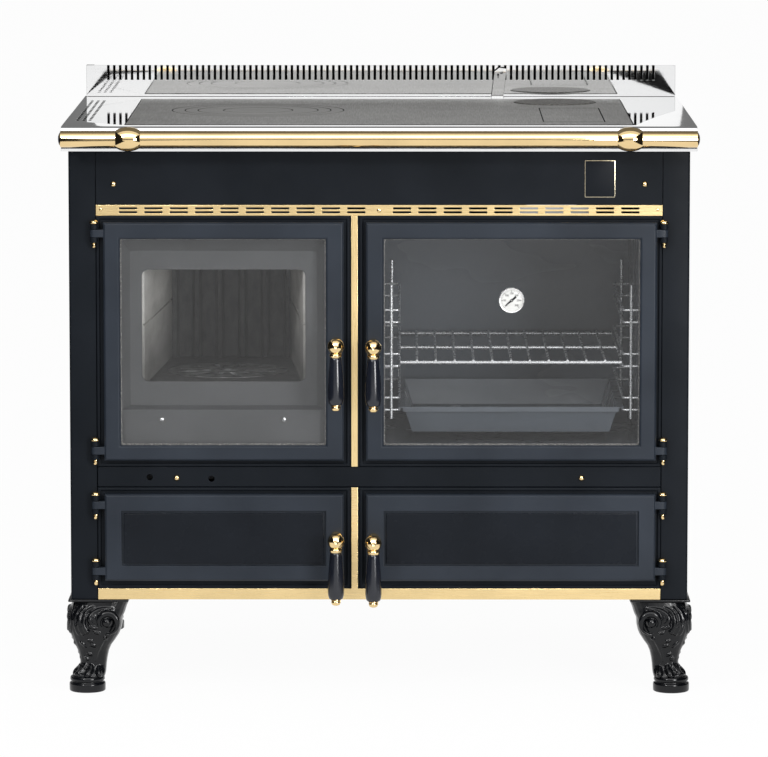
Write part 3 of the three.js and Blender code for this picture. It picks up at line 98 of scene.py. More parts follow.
def sums(tree, operation, first, second=None, third=None):
    """One Math node. Each of its inputs is a number or the output of another node."""
    node = tree.nodes.new("ShaderNodeMath")
    node.operation = operation
    for socket, value in zip(node.inputs, (first, second, third)):
        if isinstance(value, (int, float)):
            socket.default_value = value
        elif value is not None:
            tree.links.new(value, socket)
    return node.outputs[0]


def empty_material(name):
    """A new material and its node tree, with no nodes in it."""
    material = bpy.data.materials.new(name)
    material.use_nodes = True
    material.node_tree.nodes.clear()
    return material, material.node_tree


def blended_surface(tree, share, first, second):
    """The surface shows the first shader where share is 0, and the second where it is 1."""
    mix = tree.nodes.new("ShaderNodeMixShader")
    out = tree.nodes.new("ShaderNodeOutputMaterial")
    tree.links.new(share, mix.inputs["Fac"])
    tree.links.new(first.outputs[0], mix.inputs[1])
    tree.links.new(second.outputs[0], mix.inputs[2])
    tree.links.new(mix.outputs[0], out.inputs["Surface"])


print("node helpers ready")

# %% [markdown]
# Studio: a white floor that runs to the horizon, a white world, one broad lamp overhead and two
# small ones. Polished brass and steel have no look of their own, they show what stands around them.
# So dark and grey cards, seen only in reflections, stand in front, behind, above and at the sides,
# and give the rail its dark lines and the balls their dark cheeks. The floor shines a little by
# itself for the camera, which turns it white and still keeps the shadow under the legs.

# %% Floor and world


def seen_directly(tree):
    """1 for a ray from the camera, a mirror or a pane, and 0 for one that carries light."""
    ray = tree.nodes.new("ShaderNodeLightPath").outputs
    straight = sums(tree, "MAXIMUM", ray["Is Camera Ray"], ray["Is Transmission Ray"])
    return sums(tree, "MAXIMUM", straight, ray["Is Glossy Ray"])


def staged(name, bm, material, hidden_from=()):
    """Makes a mesh that belongs to the studio, unseen by the kinds of ray it is hidden from."""
    mesh = bpy.data.meshes.new(name)
    bm.to_mesh(mesh)
    bm.free()
    mesh.materials.append(material)
    thing = bpy.data.objects.new(name, mesh)
    bpy.context.scene.collection.objects.link(thing)
    for ray in hidden_from:
        setattr(thing, "visible_" + ray, False)


def white_floor():
    bm = bmesh.new()
    bmesh.ops.create_grid(bm, x_segments=1, y_segments=1, size=60)
    paper, tree = empty_material("floor_paper")
    matt = tree.nodes.new("ShaderNodeBsdfDiffuse")
    matt.inputs["Color"].default_value = (0.85, 0.85, 0.85, 1)
    glow = tree.nodes.new("ShaderNodeEmission")
    blended_surface(tree, sums(tree, "MULTIPLY", seen_directly(tree), 0.96), matt, glow)
    staged("floor", bm, paper)


def studio_world():
    world = bpy.data.worlds.new("studio")
    bpy.context.scene.world = world
    world.use_nodes = True
    tree = world.node_tree
    tree.nodes.clear()
    light = tree.nodes.new("ShaderNodeBackground")
    light.inputs["Color"].default_value = (1, 1, 1, 1)
    strength = sums(tree, "MULTIPLY_ADD", seen_directly(tree), 0.45, 0.55)
    tree.links.new(strength, light.inputs["Strength"])
    out = tree.nodes.new("ShaderNodeOutputWorld")
    tree.links.new(light.outputs[0], out.inputs["Surface"])


def softbox(name, place, aim, size, power):
    lamp_data = bpy.data.lights.new(name, "AREA")
    lamp_data.shape = "RECTANGLE"
    lamp_data.size = size[0]
    lamp_data.size_y = size[1]
    lamp_data.energy = power
    lamp = bpy.data.objects.new(name, lamp_data)
    lamp.location = place
    lamp.rotation_euler = (Vector(aim) - Vector(place)).to_track_quat("-Z", "Y").to_euler()
    bpy.context.scene.collection.objects.link(lamp)


def card(name, corners, grey):
    """A grey card that only reflections see: it glows by that grey, and nothing lights it."""
    bm = bmesh.new()
    bm.faces.new([bm.verts.new(corner) for corner in corners])
    paper, tree = empty_material(name)
    glow = tree.nodes.new("ShaderNodeEmission")
    glow.inputs["Color"].default_value = (grey, grey, grey, 1)
    out = tree.nodes.new("ShaderNodeOutputMaterial")
    tree.links.new(glow.outputs[0], out.inputs["Surface"])
    staged(name, bm, paper, ("camera", "diffuse", "transmission", "shadow", "volume_scatter"))


white_floor()
studio_world()
softbox("sky", (0, -3.1, 3.1), (0, -0.3, 0.8), (6.0, 2.2), 92)
softbox("key", (-2.0, -3.6, 2.4), (0, 0, 0.5), (0.42, 0.42), 38)
softbox("fill", (1.7, -3.2, 1.0), (-0.3, 0.2, 0.56), (0.9, 1.2), 62)
card("front_card", [(-4, -6, 0.6), (4, -6, 0.6), (4, -6, 1.24), (-4, -6, 1.24)], 0.01)
card("roof_card", [(-4, -0.5, 4.4), (4, -0.5, 4.4), (4, 6, 3.6), (-4, 6, 3.6)], 0.2)
for label, side in SIDES:
    near, far = side * 0.8, side * 7
    back = [(near, 6, 0.95), (far, 6, 0.95), (far, 6, 3.6), (near, 6, 3.6)]
    near, far = side * 1.3, side * 2.4
    wall = [(far, -4.5, 0.02), (far, 1.5, 0.02), (far, 1.5, 3.0), (far, -4.5, 3.0)]
    ground = [(near, -4.5, 0.02), (far, -4.5, 0.02), (far, 1.5, 0.02), (near, 1.5, 0.02)]
    card(label + "_back_card", back, 0.19)
    card(label + "_card", wall, 0.015)
    card(label + "_ground_card", ground, 0.015)
bpy.context.scene.view_settings.view_transform = "Standard"
bpy.context.scene.display_settings.display_device = "sRGB"
print("studio ready")

# %% [markdown]
# Finishes are node trees that read Object coordinates, so they stay put on a moving door and look
# the same from every side. Their helpers give a shader with its coordinates, a noise that can be
# stretched, a ramp of colours or greys, a socket that follows such a ramp, a product and a bump.

# %% Helpers for finishes


def start_finish(name, colour, roughness, metallic=0.0, specular=0.5):
    """A new material, its node tree, its shader and its object coordinates."""
    material = bpy.data.materials.new(name)
    material.use_nodes = True
    tree = material.node_tree
    shader = tree.nodes["Principled BSDF"]
    shader.inputs["Base Color"].default_value = (*colour, 1)
    shader.inputs["Roughness"].default_value = roughness
    shader.inputs["Metallic"].default_value = metallic
    shader.inputs["Specular IOR Level"].default_value = specular
    place = tree.nodes.new("ShaderNodeTexCoord").outputs["Object"]
    return material, tree, shader, place


def noise(tree, place, scale, detail=3.0, stretch=(1, 1, 1), roughness=0.5):
    """Noise with about scale blotches to a metre, drawn out along an axis by a small stretch."""
    mapping = tree.nodes.new("ShaderNodeMapping")
    mapping.inputs["Scale"].default_value = stretch
    tree.links.new(place, mapping.inputs["Vector"])
    texture = tree.nodes.new("ShaderNodeTexNoise")
    texture.inputs["Scale"].default_value = scale
    texture.inputs["Detail"].default_value = detail
    texture.inputs["Roughness"].default_value = roughness
    tree.links.new(mapping.outputs[0], texture.inputs["Vector"])
    return texture.outputs["Fac"]


def ramp(tree, value, stops):
    """Colours, or greys given as one number, along a value from 0 to 1."""
    node = tree.nodes.new("ShaderNodeValToRGB")
    elements = node.color_ramp.elements
    while len(elements) < len(stops):
        elements.new(0.5)
    for element, (position, colour) in zip(elements, stops):
        element.position = position
        shade = colour if isinstance(colour, tuple) else (colour, colour, colour)
        element.color = (*shade, 1)
    tree.links.new(value, node.inputs["Fac"])
    return node.outputs["Color"]


def graded(tree, shader, socket, value, stops):
    """Lets a socket of the shader follow a ramp over a value."""
    tree.links.new(ramp(tree, value, stops), shader.inputs[socket])


def bump(tree, shader, height, strength, distance):
    node = tree.nodes.new("ShaderNodeBump")
    node.inputs["Strength"].default_value = strength
    node.inputs["Distance"].default_value = distance
    tree.links.new(height, node.inputs["Height"])
    tree.links.new(node.outputs[0], shader.inputs["Normal"])


def multiply(tree, first, second):
    node = tree.nodes.new("ShaderNodeMix")
    node.data_type = "RGBA"
    node.blend_type = "MULTIPLY"
    node.inputs[0].default_value = 1
    tree.links.new(first, node.inputs[6])
    tree.links.new(second, node.inputs[7])
    return node.outputs[2]


print("finish helpers ready")

# %% [markdown]
# The body is sprayed with a heat-proof satin black that dries with a very fine grain. The doors are
# castings under a charcoal coat, a little lighter and bluer, with a coarser skin. Both get a faint
# cloudiness in colour and gloss, because no baked coat is perfectly even.

# %% Painted steel and iron


def baked_paint(name, deep, pale, gloss, grain, specular):
    material, tree, shader, place = start_finish(name, deep, gloss, 0.0, specular)
    graded(tree, shader, "Base Color", noise(tree, place, 9, 4), [(0.3, deep), (0.7, pale)])
    sheen = noise(tree, place, 30, 3)
    graded(tree, shader, "Roughness", sheen, [(0.3, gloss - 0.05), (0.7, gloss + 0.06)])
    bump(tree, shader, noise(tree, place, grain, 2), 0.18, 0.0004)
    return material


PAINTS = {  # deep and pale colour, gloss, grains to a metre, specular
    "body_black": ((0.005, 0.0066, 0.009), (0.0078, 0.0098, 0.0132), 0.42, 1900, 0.08),
    "door_charcoal": ((0.0115, 0.0155, 0.0225), (0.018, 0.0235, 0.033), 0.4, 1300, 0.22),
    "panel_black": ((0.0045, 0.006, 0.0088), (0.007, 0.009, 0.0128), 0.26, 1500, 0.13),
    "leg_black": ((0.0015, 0.0018, 0.0026), (0.0035, 0.004, 0.0055), 0.19, 420, 0.34),
    "grip_black": ((0.005, 0.0062, 0.0105), (0.008, 0.0098, 0.016), 0.18, 900, 0.6),
    # a dead black, used as painted shade on slot walls and for the damper's arrow
    "black_ink_and_shade": ((0.0016, 0.0016, 0.0016), (0.003, 0.0029, 0.0028), 0.9, 700, 0.05),
}
paints = {name: baked_paint(name, *values) for name, values in PAINTS.items()}
body_black = paints["body_black"]
grip_black = paints["grip_black"]
black_ink_and_shade = paints["black_ink_and_shade"]
print("paints ready")

# %% [markdown]
# The worktop is polished stainless sheet with a barely visible brushing along its length. The hob is
# ground cast iron: the wheel leaves fine straight lines, the lathe leaves circles on the rings, and
# heat leaves soft grey blotches. Soot blackens every joint. The joints lie at known places, so the
# finish works out from the object coordinates how far a point is from each circle and rectangle.
# The round cover over the flue is left rough from the mould.

# %% Steel and bare iron


def stainless():
    material, tree, shader, place = start_finish("stainless", (0.86, 0.865, 0.87), 0.16, 1.0)
    lines = noise(tree, place, 700, 2, (0.02, 1, 1))
    graded(tree, shader, "Roughness", lines, [(0.3, 0.02), (0.7, 0.05)])
    tone = noise(tree, place, 5, 3)
    graded(tree, shader, "Base Color", tone, [(0.3, (0.84, 0.845, 0.85)), (0.7, (0.9, 0.9, 0.9))])
    bump(tree, shader, lines, 0.02, 0.0001)
    return material


HOB_X = (-401, 401)
HOB_Y = (35, 597)
RING_CENTRE = (-199.0, 345.0)
RING_RADII = (140.0, 119.0, 98.0, 56.5)
FLUE_CENTRE = (290.0, 521.0)
FLUE_RADIUS = 67.0
COVER_X = (309.5 - 48.75, 309.5 + 48.75)
COVER_Y = (243 - 148.5, 243 + 148.5)


def flat_distance(tree, place, centre):
    """How far each point of a flat plate lies from a centre, seen from above."""
    middle = at(*centre, 0)
    shift = tree.nodes.new("ShaderNodeMapping")
    shift.inputs["Location"].default_value = (-middle.x, -middle.y, 0)
    shift.inputs["Scale"].default_value = (1, 1, 0)
    tree.links.new(place, shift.inputs["Vector"])
    length = tree.nodes.new("ShaderNodeVectorMath")
    length.operation = "LENGTH"
    tree.links.new(shift.outputs[0], length.inputs[0])
    return length.outputs["Value"]


def hob_joints(tree, place):
    """1 on every joint of the hob, where soot gathers, and 0 elsewhere."""
    from_rings = flat_distance(tree, place, RING_CENTRE)
    from_flue = flat_distance(tree, place, FLUE_CENTRE)
    joints = [sums(tree, "COMPARE", from_rings, radius * MM, 0.9 * MM) for radius in RING_RADII]
    joints.append(sums(tree, "COMPARE", from_flue, FLUE_RADIUS * MM, 1.4 * MM))
    split = tree.nodes.new("ShaderNodeSeparateXYZ")
    tree.links.new(place, split.inputs[0])
    for x, y in ((COVER_X, COVER_Y), (HOB_X, HOB_Y)):
        middle = at((x[0] + x[1]) / 2, (y[0] + y[1]) / 2, 0)
        across = sums(tree, "ABSOLUTE", sums(tree, "SUBTRACT", split.outputs["X"], middle.x))
        along = sums(tree, "ABSOLUTE", sums(tree, "SUBTRACT", split.outputs["Y"], middle.y))
        past_x = sums(tree, "SUBTRACT", across, (x[1] - x[0]) / 2 * MM)
        past_y = sums(tree, "SUBTRACT", along, (y[1] - y[0]) / 2 * MM)
        for past, other, width in ((past_x, past_y, 0.9), (past_y, past_x, 2.0)):
            on_edge = sums(tree, "COMPARE", past, 0.0, width * MM)
            joints.append(sums(tree, "MULTIPLY", on_edge, sums(tree, "LESS_THAN", other, 0.0)))
    total = joints[0]
    for joint in joints[1:]:
        total = sums(tree, "MAXIMUM", total, joint)
    return total


def ground_iron(name, on_rings):
    """Iron ground in straight lines, or for the rings in circles, with soot in its joints."""
    material, tree, shader, place = start_finish(name, (0.1, 0.1, 0.095), 0.42, 0.55)
    if on_rings:
        radius = tree.nodes.new("ShaderNodeCombineXYZ")
        tree.links.new(flat_distance(tree, place, RING_CENTRE), radius.inputs[0])
        grind = noise(tree, radius.outputs[0], 900, 3)
    else:
        grind = noise(tree, place, 700, 4, (1, 0.03, 1))
    blotch = noise(tree, place, 7, 5, (1, 1.6, 1), 0.6)
    tones = [(0.25, (0.1, 0.098, 0.09)), (0.55, (0.145, 0.142, 0.131)), (0.8, (0.2, 0.196, 0.182))]
    tone = ramp(tree, blotch, tones)
    lined = multiply(tree, tone, ramp(tree, grind, [(0.3, 0.75), (0.7, 1.0)]))
    joints = hob_joints(tree, place)
    sooty = multiply(tree, lined, ramp(tree, joints, [(0.0, 1.0), (1.0, 0.06)]))
    tree.links.new(sooty, shader.inputs["Base Color"])
    gloss = ramp(tree, grind, [(0.3, 0.34), (0.7, 0.48)])
    tree.links.new(sums(tree, "MAXIMUM", gloss, joints), shader.inputs["Roughness"])
    bump(tree, shader, grind, 0.45 if on_rings else 0.15, 0.0005)
    return material


def rough_casting():
    material, tree, shader, place = start_finish("rough_casting", (0.05, 0.048, 0.045), 0.7, 0.5)
    pits = noise(tree, place, 260, 6, (1, 1, 1), 0.7)
    tones = [(0.3, (0.05, 0.049, 0.046)), (0.5, (0.12, 0.117, 0.11)), (0.75, (0.26, 0.255, 0.24))]
    graded(tree, shader, "Base Color", pits, tones)
    bump(tree, shader, pits, 0.6, 0.0012)
    return material


steel_sheet = stainless()
hob_iron = ground_iron("ground_iron", False)
ring_iron = ground_iron("turned_iron", True)
cover_iron = rough_casting()
print("steel and iron ready")

# %% [markdown]
# The rail, brackets and handle fittings are polished and lacquered brass. The flat strips are satin
# brass, brushed along their length, and the badge's thin border is a duller gilt.

# %% Brass


def brass(name, colour, gloss, stretch, lines_scale):
    material, tree, shader, place = start_finish(name, colour, gloss, 1.0)
    lines = noise(tree, place, lines_scale, 3, stretch)
    graded(tree, shader, "Roughness", lines, [(0.3, gloss * 0.75), (0.7, gloss * 1.3)])
    warm = tuple(min(1.0, c * 1.05) for c in colour)
    cool = tuple(c * 0.93 for c in colour)
    graded(tree, shader, "Base Color", noise(tree, place, 14, 3), [(0.3, cool), (0.7, warm)])
    bump(tree, shader, lines, 0.04, 0.0002)
    return material


polished_brass = brass("polished_brass", (0.84, 0.63, 0.33), 0.07, (0.1, 1, 1), 400)
strip_brass = brass("strip_brass", (0.83, 0.63, 0.32), 0.3, (0.02, 1, 1), 900)
upright_brass = brass("upright_brass", (0.88, 0.67, 0.34), 0.3, (1, 1, 0.02), 900)
badge_gilt = brass("badge_gilt", (0.62, 0.55, 0.4), 0.25, (1, 1, 1), 500)
print("brass ready")

# %% [markdown]
# Behind the firebox glass stands grey heat-proof paint on the cast front, buff firebrick that smoke
# has stained in bands, with painted shade that darkens it towards the bottom, and bare ribbed iron.
# The oven is dark speckled enamel with chromed wires.

# %% Inside finishes


def grey_heat_paint():
    material, tree, shader, place = start_finish("grey_heat_paint", (0.2, 0.2, 0.203), 0.55)
    dust = noise(tree, place, 16, 5, (1, 1, 1), 0.6)
    graded(tree, shader, "Base Color", dust, [(0.3, (0.072, 0.073, 0.075)), (0.7, (0.093, 0.094, 0.097))])
    bump(tree, shader, noise(tree, place, 700, 3), 0.08, 0.0004)
    return material


def stained_shaded_brick():
    material, tree, shader, place = start_finish("stained_shaded_brick", (0.45, 0.42, 0.38), 0.92)
    bands = noise(tree, place, 9, 4, (0.4, 0.5, 1.6), 0.6)
    tones = [(0.32, (0.55, 0.53, 0.49)), (0.5, (0.78, 0.75, 0.7)), (0.68, (0.88, 0.85, 0.8))]
    tone = ramp(tree, bands, tones)
    # Painted shade: the brick's colour darkens towards the bottom, from 0.6 m down to 0.5 m above the floor.
    split = tree.nodes.new("ShaderNodeSeparateXYZ")
    tree.links.new(place, split.inputs[0])
    height = sums(tree, "MULTIPLY", sums(tree, "SUBTRACT", split.outputs["Z"], 0.49), 6.0)
    shade_below = multiply(tree, tone, ramp(tree, height, [(0.15, 0.3), (0.75, 1.0)]))
    grit = noise(tree, place, 420, 4)
    gritty = multiply(tree, shade_below, ramp(tree, grit, [(0.3, 0.8), (0.7, 1.0)]))
    tree.links.new(gritty, shader.inputs["Base Color"])
    bump(tree, shader, grit, 0.5, 0.0012)
    return material


def burnt_iron():
    material, tree, shader, place = start_finish("burnt_iron", (0.07, 0.07, 0.07), 0.55, 0.3)
    ash = noise(tree, place, 60, 5, (1, 1, 0.5), 0.65)
    graded(tree, shader, "Base Color", ash, [(0.35, 0.078), (0.75, (0.15, 0.148, 0.144))])
    bump(tree, shader, noise(tree, place, 500, 4), 0.4, 0.0008)
    return material


def worn_iron():
    """The grate's bars are rubbed bright by the poker."""
    material, tree, shader, place = start_finish("worn_iron", (0.2, 0.2, 0.2), 0.35, 0.6)
    rubbed = noise(tree, place, 45, 4)
    graded(tree, shader, "Base Color", rubbed, [(0.35, 0.12), (0.65, 0.42)])
    graded(tree, shader, "Roughness", rubbed, [(0.35, 0.5), (0.65, 0.28)])
    bump(tree, shader, rubbed, 0.2, 0.001)
    return material


def speckled_enamel():
    material, tree, shader, place = start_finish("speckled_enamel", (0.1, 0.112, 0.13), 0.24)
    specks = noise(tree, place, 900, 1)
    graded(tree, shader, "Base Color", specks, [(0.62, (0.098, 0.112, 0.131)), (0.76, (0.16, 0.175, 0.2))])
    waves = noise(tree, place, 14, 2, (0.35, 1, 1))
    graded(tree, shader, "Roughness", waves, [(0.3, 0.18), (0.7, 0.32)])
    bump(tree, shader, waves, 0.03, 0.002)
    return material


def chrome_wire():
    material, tree, shader, place = start_finish("chrome_wire", (0.95, 0.95, 0.95), 0.25, 0.75)
    graded(tree, shader, "Roughness", noise(tree, place, 120, 3), [(0.3, 0.18), (0.7, 0.34)])
    return material


def cells(tree, place, scale):
    """Cells like crystals or strands, about scale of them to a metre."""
    texture = tree.nodes.new("ShaderNodeTexVoronoi")
    texture.inputs["Scale"].default_value = scale
    tree.links.new(place, texture.inputs["Vector"])
    return texture.outputs["Color"], texture.outputs["Distance"]


def galvanised():
    material, tree, shader, place = start_finish("galvanised", (0.36, 0.37, 0.38), 0.42, 0.85)
    crystal, distance = cells(tree, place, 150)
    graded(tree, shader, "Base Color", crystal, [(0.0, (0.33, 0.34, 0.35)), (1.0, (0.42, 0.43, 0.44))])
    graded(tree, shader, "Roughness", distance, [(0.0, 0.36), (1.0, 0.5)])
    return material


def braided_rope():
    """Glass rope: pale strands that cross at a slant, with painted shade in the gaps between them."""
    material, tree, shader, place = start_finish("braided_rope", (0.5, 0.48, 0.44), 0.95)
    strand = cells(tree, place, 420)[1]
    # Painted shade: the colour darkens towards each strand's edge, in the gaps.
    graded(tree, shader, "Base Color", strand, [(0.1, (0.62, 0.6, 0.56)), (0.5, (0.2, 0.19, 0.18))])
    bump(tree, shader, strand, 0.9, 0.002)
    return material


heat_grey = grey_heat_paint()
brick = stained_shaded_brick()
iron = burnt_iron()
grate_iron = worn_iron()
enamel = speckled_enamel()
chrome = chrome_wire()
zinc = galvanised()
rope = braided_rope()
print("inside finishes ready")

# %% [markdown]
# Oven glass is clear and slightly grey. A pane this thin bends the view by nothing one can see, so
# the shader lets the light through unbent and lays a mirror over it that grows towards the edges
# of the view. That keeps what is behind the pane sharp and well lit.

# %% Glass


def window_glass():
    material, tree = empty_material("window_glass")
    clear = tree.nodes.new("ShaderNodeBsdfTransparent")
    clear.inputs["Color"].default_value = (0.9, 0.905, 0.91, 1)
    shine = tree.nodes.new("ShaderNodeBsdfGlossy")
    shine.inputs["Color"].default_value = (1, 1, 1, 1)
    edge = tree.nodes.new("ShaderNodeFresnel")
    edge.inputs["IOR"].default_value = 1.4
    place = tree.nodes.new("ShaderNodeTexCoord").outputs["Object"]
    graded(tree, shine, "Roughness", noise(tree, place, 6, 4), [(0.3, 0.03), (0.7, 0.06)])
    blended_surface(tree, edge.outputs[0], clear, shine)
    return material


pane_glass = window_glass()
print("glass ready")

# %% [markdown]
# Sheet steel and castings never end in a knife edge: a fold, a ground edge or a coat of paint rounds
# every corner by half a millimetre or more, and that thin rounding is what catches the light. The
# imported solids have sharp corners, so each is copied, its loose triangles are joined, and its
# corners are bevelled. A bevel in mesh code was chosen over a bevel modifier because the new strips
# come back from the call, and can be kept from shading into the flat faces beside them. The other
# helpers here add a box, another mesh, or the mesh of a curve to a piece that is being made.

# %% Helpers for pieces
body_of_node = {}
for body_name, empty in frame["bodies"].items():
    for node_name, thing in nodes.items():
        if thing.parent == empty:
            body_of_node[node_name] = body_name


def piece(bm, name, finish, body, replaced=()):
    """Turns a bmesh into an object that rides on a body and stands for the given CAD nodes."""
    bmesh.ops.recalc_face_normals(bm, faces=bm.faces)
    mesh = bpy.data.meshes.new(name)
    bm.to_mesh(mesh)
    bm.free()
    mesh.materials.append(finish)
    thing = bpy.data.objects.new(name, mesh)
    bpy.context.scene.collection.objects.link(thing)
    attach(thing, body)
    if replaced:
        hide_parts(*replaced)
    return thing


def crease(bm, degrees=35, strips=()):
    """Smooth shading everywhere except across sharp corners and along the sides of bevel strips."""
    strips = set(strips)
    for face in bm.faces:
        face.smooth = True
    for edge in bm.edges:
        if not edge.is_manifold:
            continue
        first, second = edge.link_faces
        border = (first in strips) != (second in strips)
        edge.smooth = not border and edge.calc_face_angle(0) < math.radians(degrees)


def bevelled(bm, edges, width, segments):
    """Rounds the edges by width millimetres, and gives back the new strips of faces."""
    made = bmesh.ops.bevel(
        bm,
        geom=edges,
        offset=width * MM,
        offset_type="OFFSET",
        segments=segments,
        profile=0.5,
        affect="EDGES",
        material=-1,
    )
    return made["faces"]


def softened(node, finish, width, segments=2, angle=40):
    """A copy of a CAD node, its loose triangles joined and its corners rounded by width mm."""
    bm = bmesh.new()
    bm.from_mesh(nodes[node].data)
    bmesh.ops.remove_doubles(bm, verts=bm.verts, dist=2e-5)
    corners = [e for e in bm.edges if e.is_manifold and e.calc_face_angle(0) > math.radians(angle)]
    crease(bm, angle, bevelled(bm, corners, width, segments))
    return piece(bm, node + "_soft", finish, body_of_node[node], [node])


def block(bm, size, centre=(0, 0, 0)):
    """Adds a box: its size is in millimetres, and its centre is a point of the frame."""
    made = bmesh.ops.create_cube(bm, size=1)["verts"]
    bmesh.ops.scale(bm, verts=made, vec=[side * MM for side in size])
    bmesh.ops.translate(bm, verts=made, vec=centre)
    return made


def taken_in(bm, mesh):
    """Adds a mesh to a bmesh, and gives back the vertices it brought."""
    start = len(bm.verts)
    bm.from_mesh(mesh)
    bm.verts.ensure_lookup_table()
    return bm.verts[start:]


def poured_in(bm, other):
    """Empties another bmesh into this one, and gives back the vertices it brought."""
    mesh = bpy.data.meshes.new("other")
    other.to_mesh(mesh)
    other.free()
    return taken_in(bm, mesh)


def mesh_of(data):
    """The mesh that a curve or a text comes out as."""
    holder = bpy.data.objects.new(data.name, data)
    mesh = bpy.data.meshes.new_from_object(holder)
    bpy.data.objects.remove(holder)
    return mesh


def bar_curve(radius, resolution):
    """A curve whose paths become round bars with closed ends."""
    curve = bpy.data.curves.new("bar", "CURVE")
    curve.dimensions = "3D"
    curve.bevel_depth = radius
    curve.bevel_resolution = resolution
    curve.use_fill_caps = True
    return curve


print("piece helpers ready")


# %% [markdown]
# Some castings carry two finishes: a glossy panel in a satin frame, or a slot whose walls are painted
# black as shade. The faces of such a place are found by where they lie, and get a second material.

# %% A second finish on one piece


def also_finished(thing, finish, belongs):
    """Gives finish to each face for which belongs(x, y, z, normal) holds, in millimetres."""
    thing.data.materials.append(finish)
    count = 0
    for face in thing.data.polygons:
        middle = face.center / MM
        if belongs(middle.x, middle.y + CENTRE_BACK, middle.z, face.normal):
            face.material_index = 1
            count += 1
    print(thing.name, "faces in", finish.name, count)


# %% [markdown]
# The painted shell comes first: sides, fascia, frames, strips and the parts behind them. Sheet of two
# millimetres takes a rounding of half that at the most. The brass strips are rolled, so theirs is
# smaller.

# %% Shell and strips
for name, width in (
    ("left_side_panel", 0.7),
    ("right_side_panel", 0.7),
    ("fascia", 0.5),
    ("upper_front_frame", 0.5),
    ("lower_front_frame", 0.5),
    ("middle_rail", 0.5),
    ("lower_cabinet", 0.4),
):
    softened(name, body_black, width)
for name in ("vent_strip", "bottom_strip"):
    softened(name, strip_brass, 0.3)
softened("centre_strip", upright_brass, 0.3)

# %% [markdown]
# The doors are castings, so their corners are rounder than those of the sheet. Their bevelled edge
# and window were drawn in the CAD, and one more small rounding along each ridge gives the thin
# highlight that painted iron shows.

# %% Doors, panes and seals
PANEL_Z = (211, 291)
PANEL_FRONT = 8  # the panel's face and its edges lie in front of this y
for name in ("firebox_door", "oven_door"):
    softened(name, paints["door_charcoal"], 0.8, 3)
for name, left, right in (("lower_left_door", -404.5, -88.2), ("lower_right_door", 11.5, 407.5)):

    def on_panel(x, y, z, normal):
        return left <= x <= right and PANEL_Z[0] <= z <= PANEL_Z[1] and y < PANEL_FRONT

    door = softened(name, paints["door_charcoal"], 0.7, 3)
    also_finished(door, paints["panel_black"], on_panel)
for name in ("firebox_glass", "oven_glass"):
    softened(name, pane_glass, 0.4, 1)
print("doors ready")

# %% [markdown]
# Inside, every part keeps its CAD shape with its corners rounded: the cast front that sinks back from
# the glass, the bricks and the ribbed back, the enamelled oven box with its tray, and the ash pan.

# %% Inside parts
softened("firebox_front", heat_grey, 0.8, 2, 25)
softened("firebox_casing", heat_grey, 0.4)
softened("left_firebrick", brick, 1.0, 2)
softened("right_firebrick", brick, 1.0, 2)
softened("firebox_back", iron, 0.8, 2, 30)
softened("firebox_floor", iron, 0.6)
softened("grate", grate_iron, 0.6)
softened("oven_liner", enamel, 0.5)
softened("drip_tray", enamel, 0.4)
softened("ash_pan", zinc, 0.4)
softened("back_panel", zinc, 0.4)
print("inside parts ready")

# %% [markdown]
# Round parts are turned on a lathe or cast round, so each is made the way a lathe makes it: half of
# its section is drawn, and bmesh's spin carries it once round the axis. Enough steps are taken that
# the rim stays round in a close view. The two ends of the section may lie on the axis, and the
# points there are merged afterwards.

# %% A lathe


def lathe(bm, section, steps, axis=(0, 0, 1), centre=(0, 0, 0), closed=False):
    """Spins points of (radius, along) in millimetres round an axis through centre."""
    along = Vector(axis)
    out = Vector((1, 0, 0)) if abs(along.x) < 0.5 else Vector((0, 0, 1))
    corners = [bm.verts.new(out * r * MM + along * h * MM) for r, h in section]
    edges = [bm.edges.new(pair) for pair in zip(corners, corners[1:])]
    if closed:
        edges.append(bm.edges.new((corners[-1], corners[0])))
    bmesh.ops.spin(
        bm,
        geom=corners + edges,
        cent=(0, 0, 0),
        axis=along,
        angle=math.tau,
        steps=steps,
        use_merge=True,
    )
    made = [v for v in bm.verts if not v.tag]
    bmesh.ops.remove_doubles(bm, verts=made, dist=2e-6)
    made = [v for v in bm.verts if not v.tag]
    bmesh.ops.translate(bm, verts=made, vec=centre)
    for vert in made:
        vert.tag = True
    return made


def turned(name, section, steps, finish, body, replaced=(), slot=None, **how):
    bm = bmesh.new()
    lathe(bm, section, steps, **how)
    bmesh.ops.recalc_face_normals(bm, faces=bm.faces)
    crease(bm, 32)
    return piece(bm, name, finish, body, replaced)


def facing(name, section, steps, finish, x, z, body="stove", replaced=(), slot=None, closed=False):
    """A turned piece whose axis runs from front to back. Its section gives y as the second number."""
    place = {"axis": (0, 1, 0), "centre": at(x, 0, z), "closed": closed}
    return turned(name, section, steps, finish, body, replaced, slot, **place)


def rounded(section, radius, steps=3):
    """The section with each inner corner replaced by a short arc of about that radius."""
    points = [Vector(p) for p in section]
    out = [points[0]]
    for before, here, after in zip(points, points[1:], points[2:]):
        reach = min(radius, (before - here).length * 0.45, (after - here).length * 0.45)
        start = here + (before - here).normalized() * reach
        end = here + (after - here).normalized() * reach
        for i in range(steps + 1):
            t = i / steps
            out.append(start * (1 - t) ** 2 + here * 2 * t * (1 - t) + end * t**2)
    out.append(points[-1])
    return [tuple(p) for p in out]


print("lathe ready")

# %% [markdown]
# The hob has three loose rings round a lid, each resting on a step of the next. Their seams show as
# thin dark lines, because the edges are rounded and soot lies along them. The rings ride on bodies of
# their own, so a lifted ring leaves a true gap.

# %% Hob rings, lid and covers
HOB_TOP = 906.1
LEDGE = 900.1


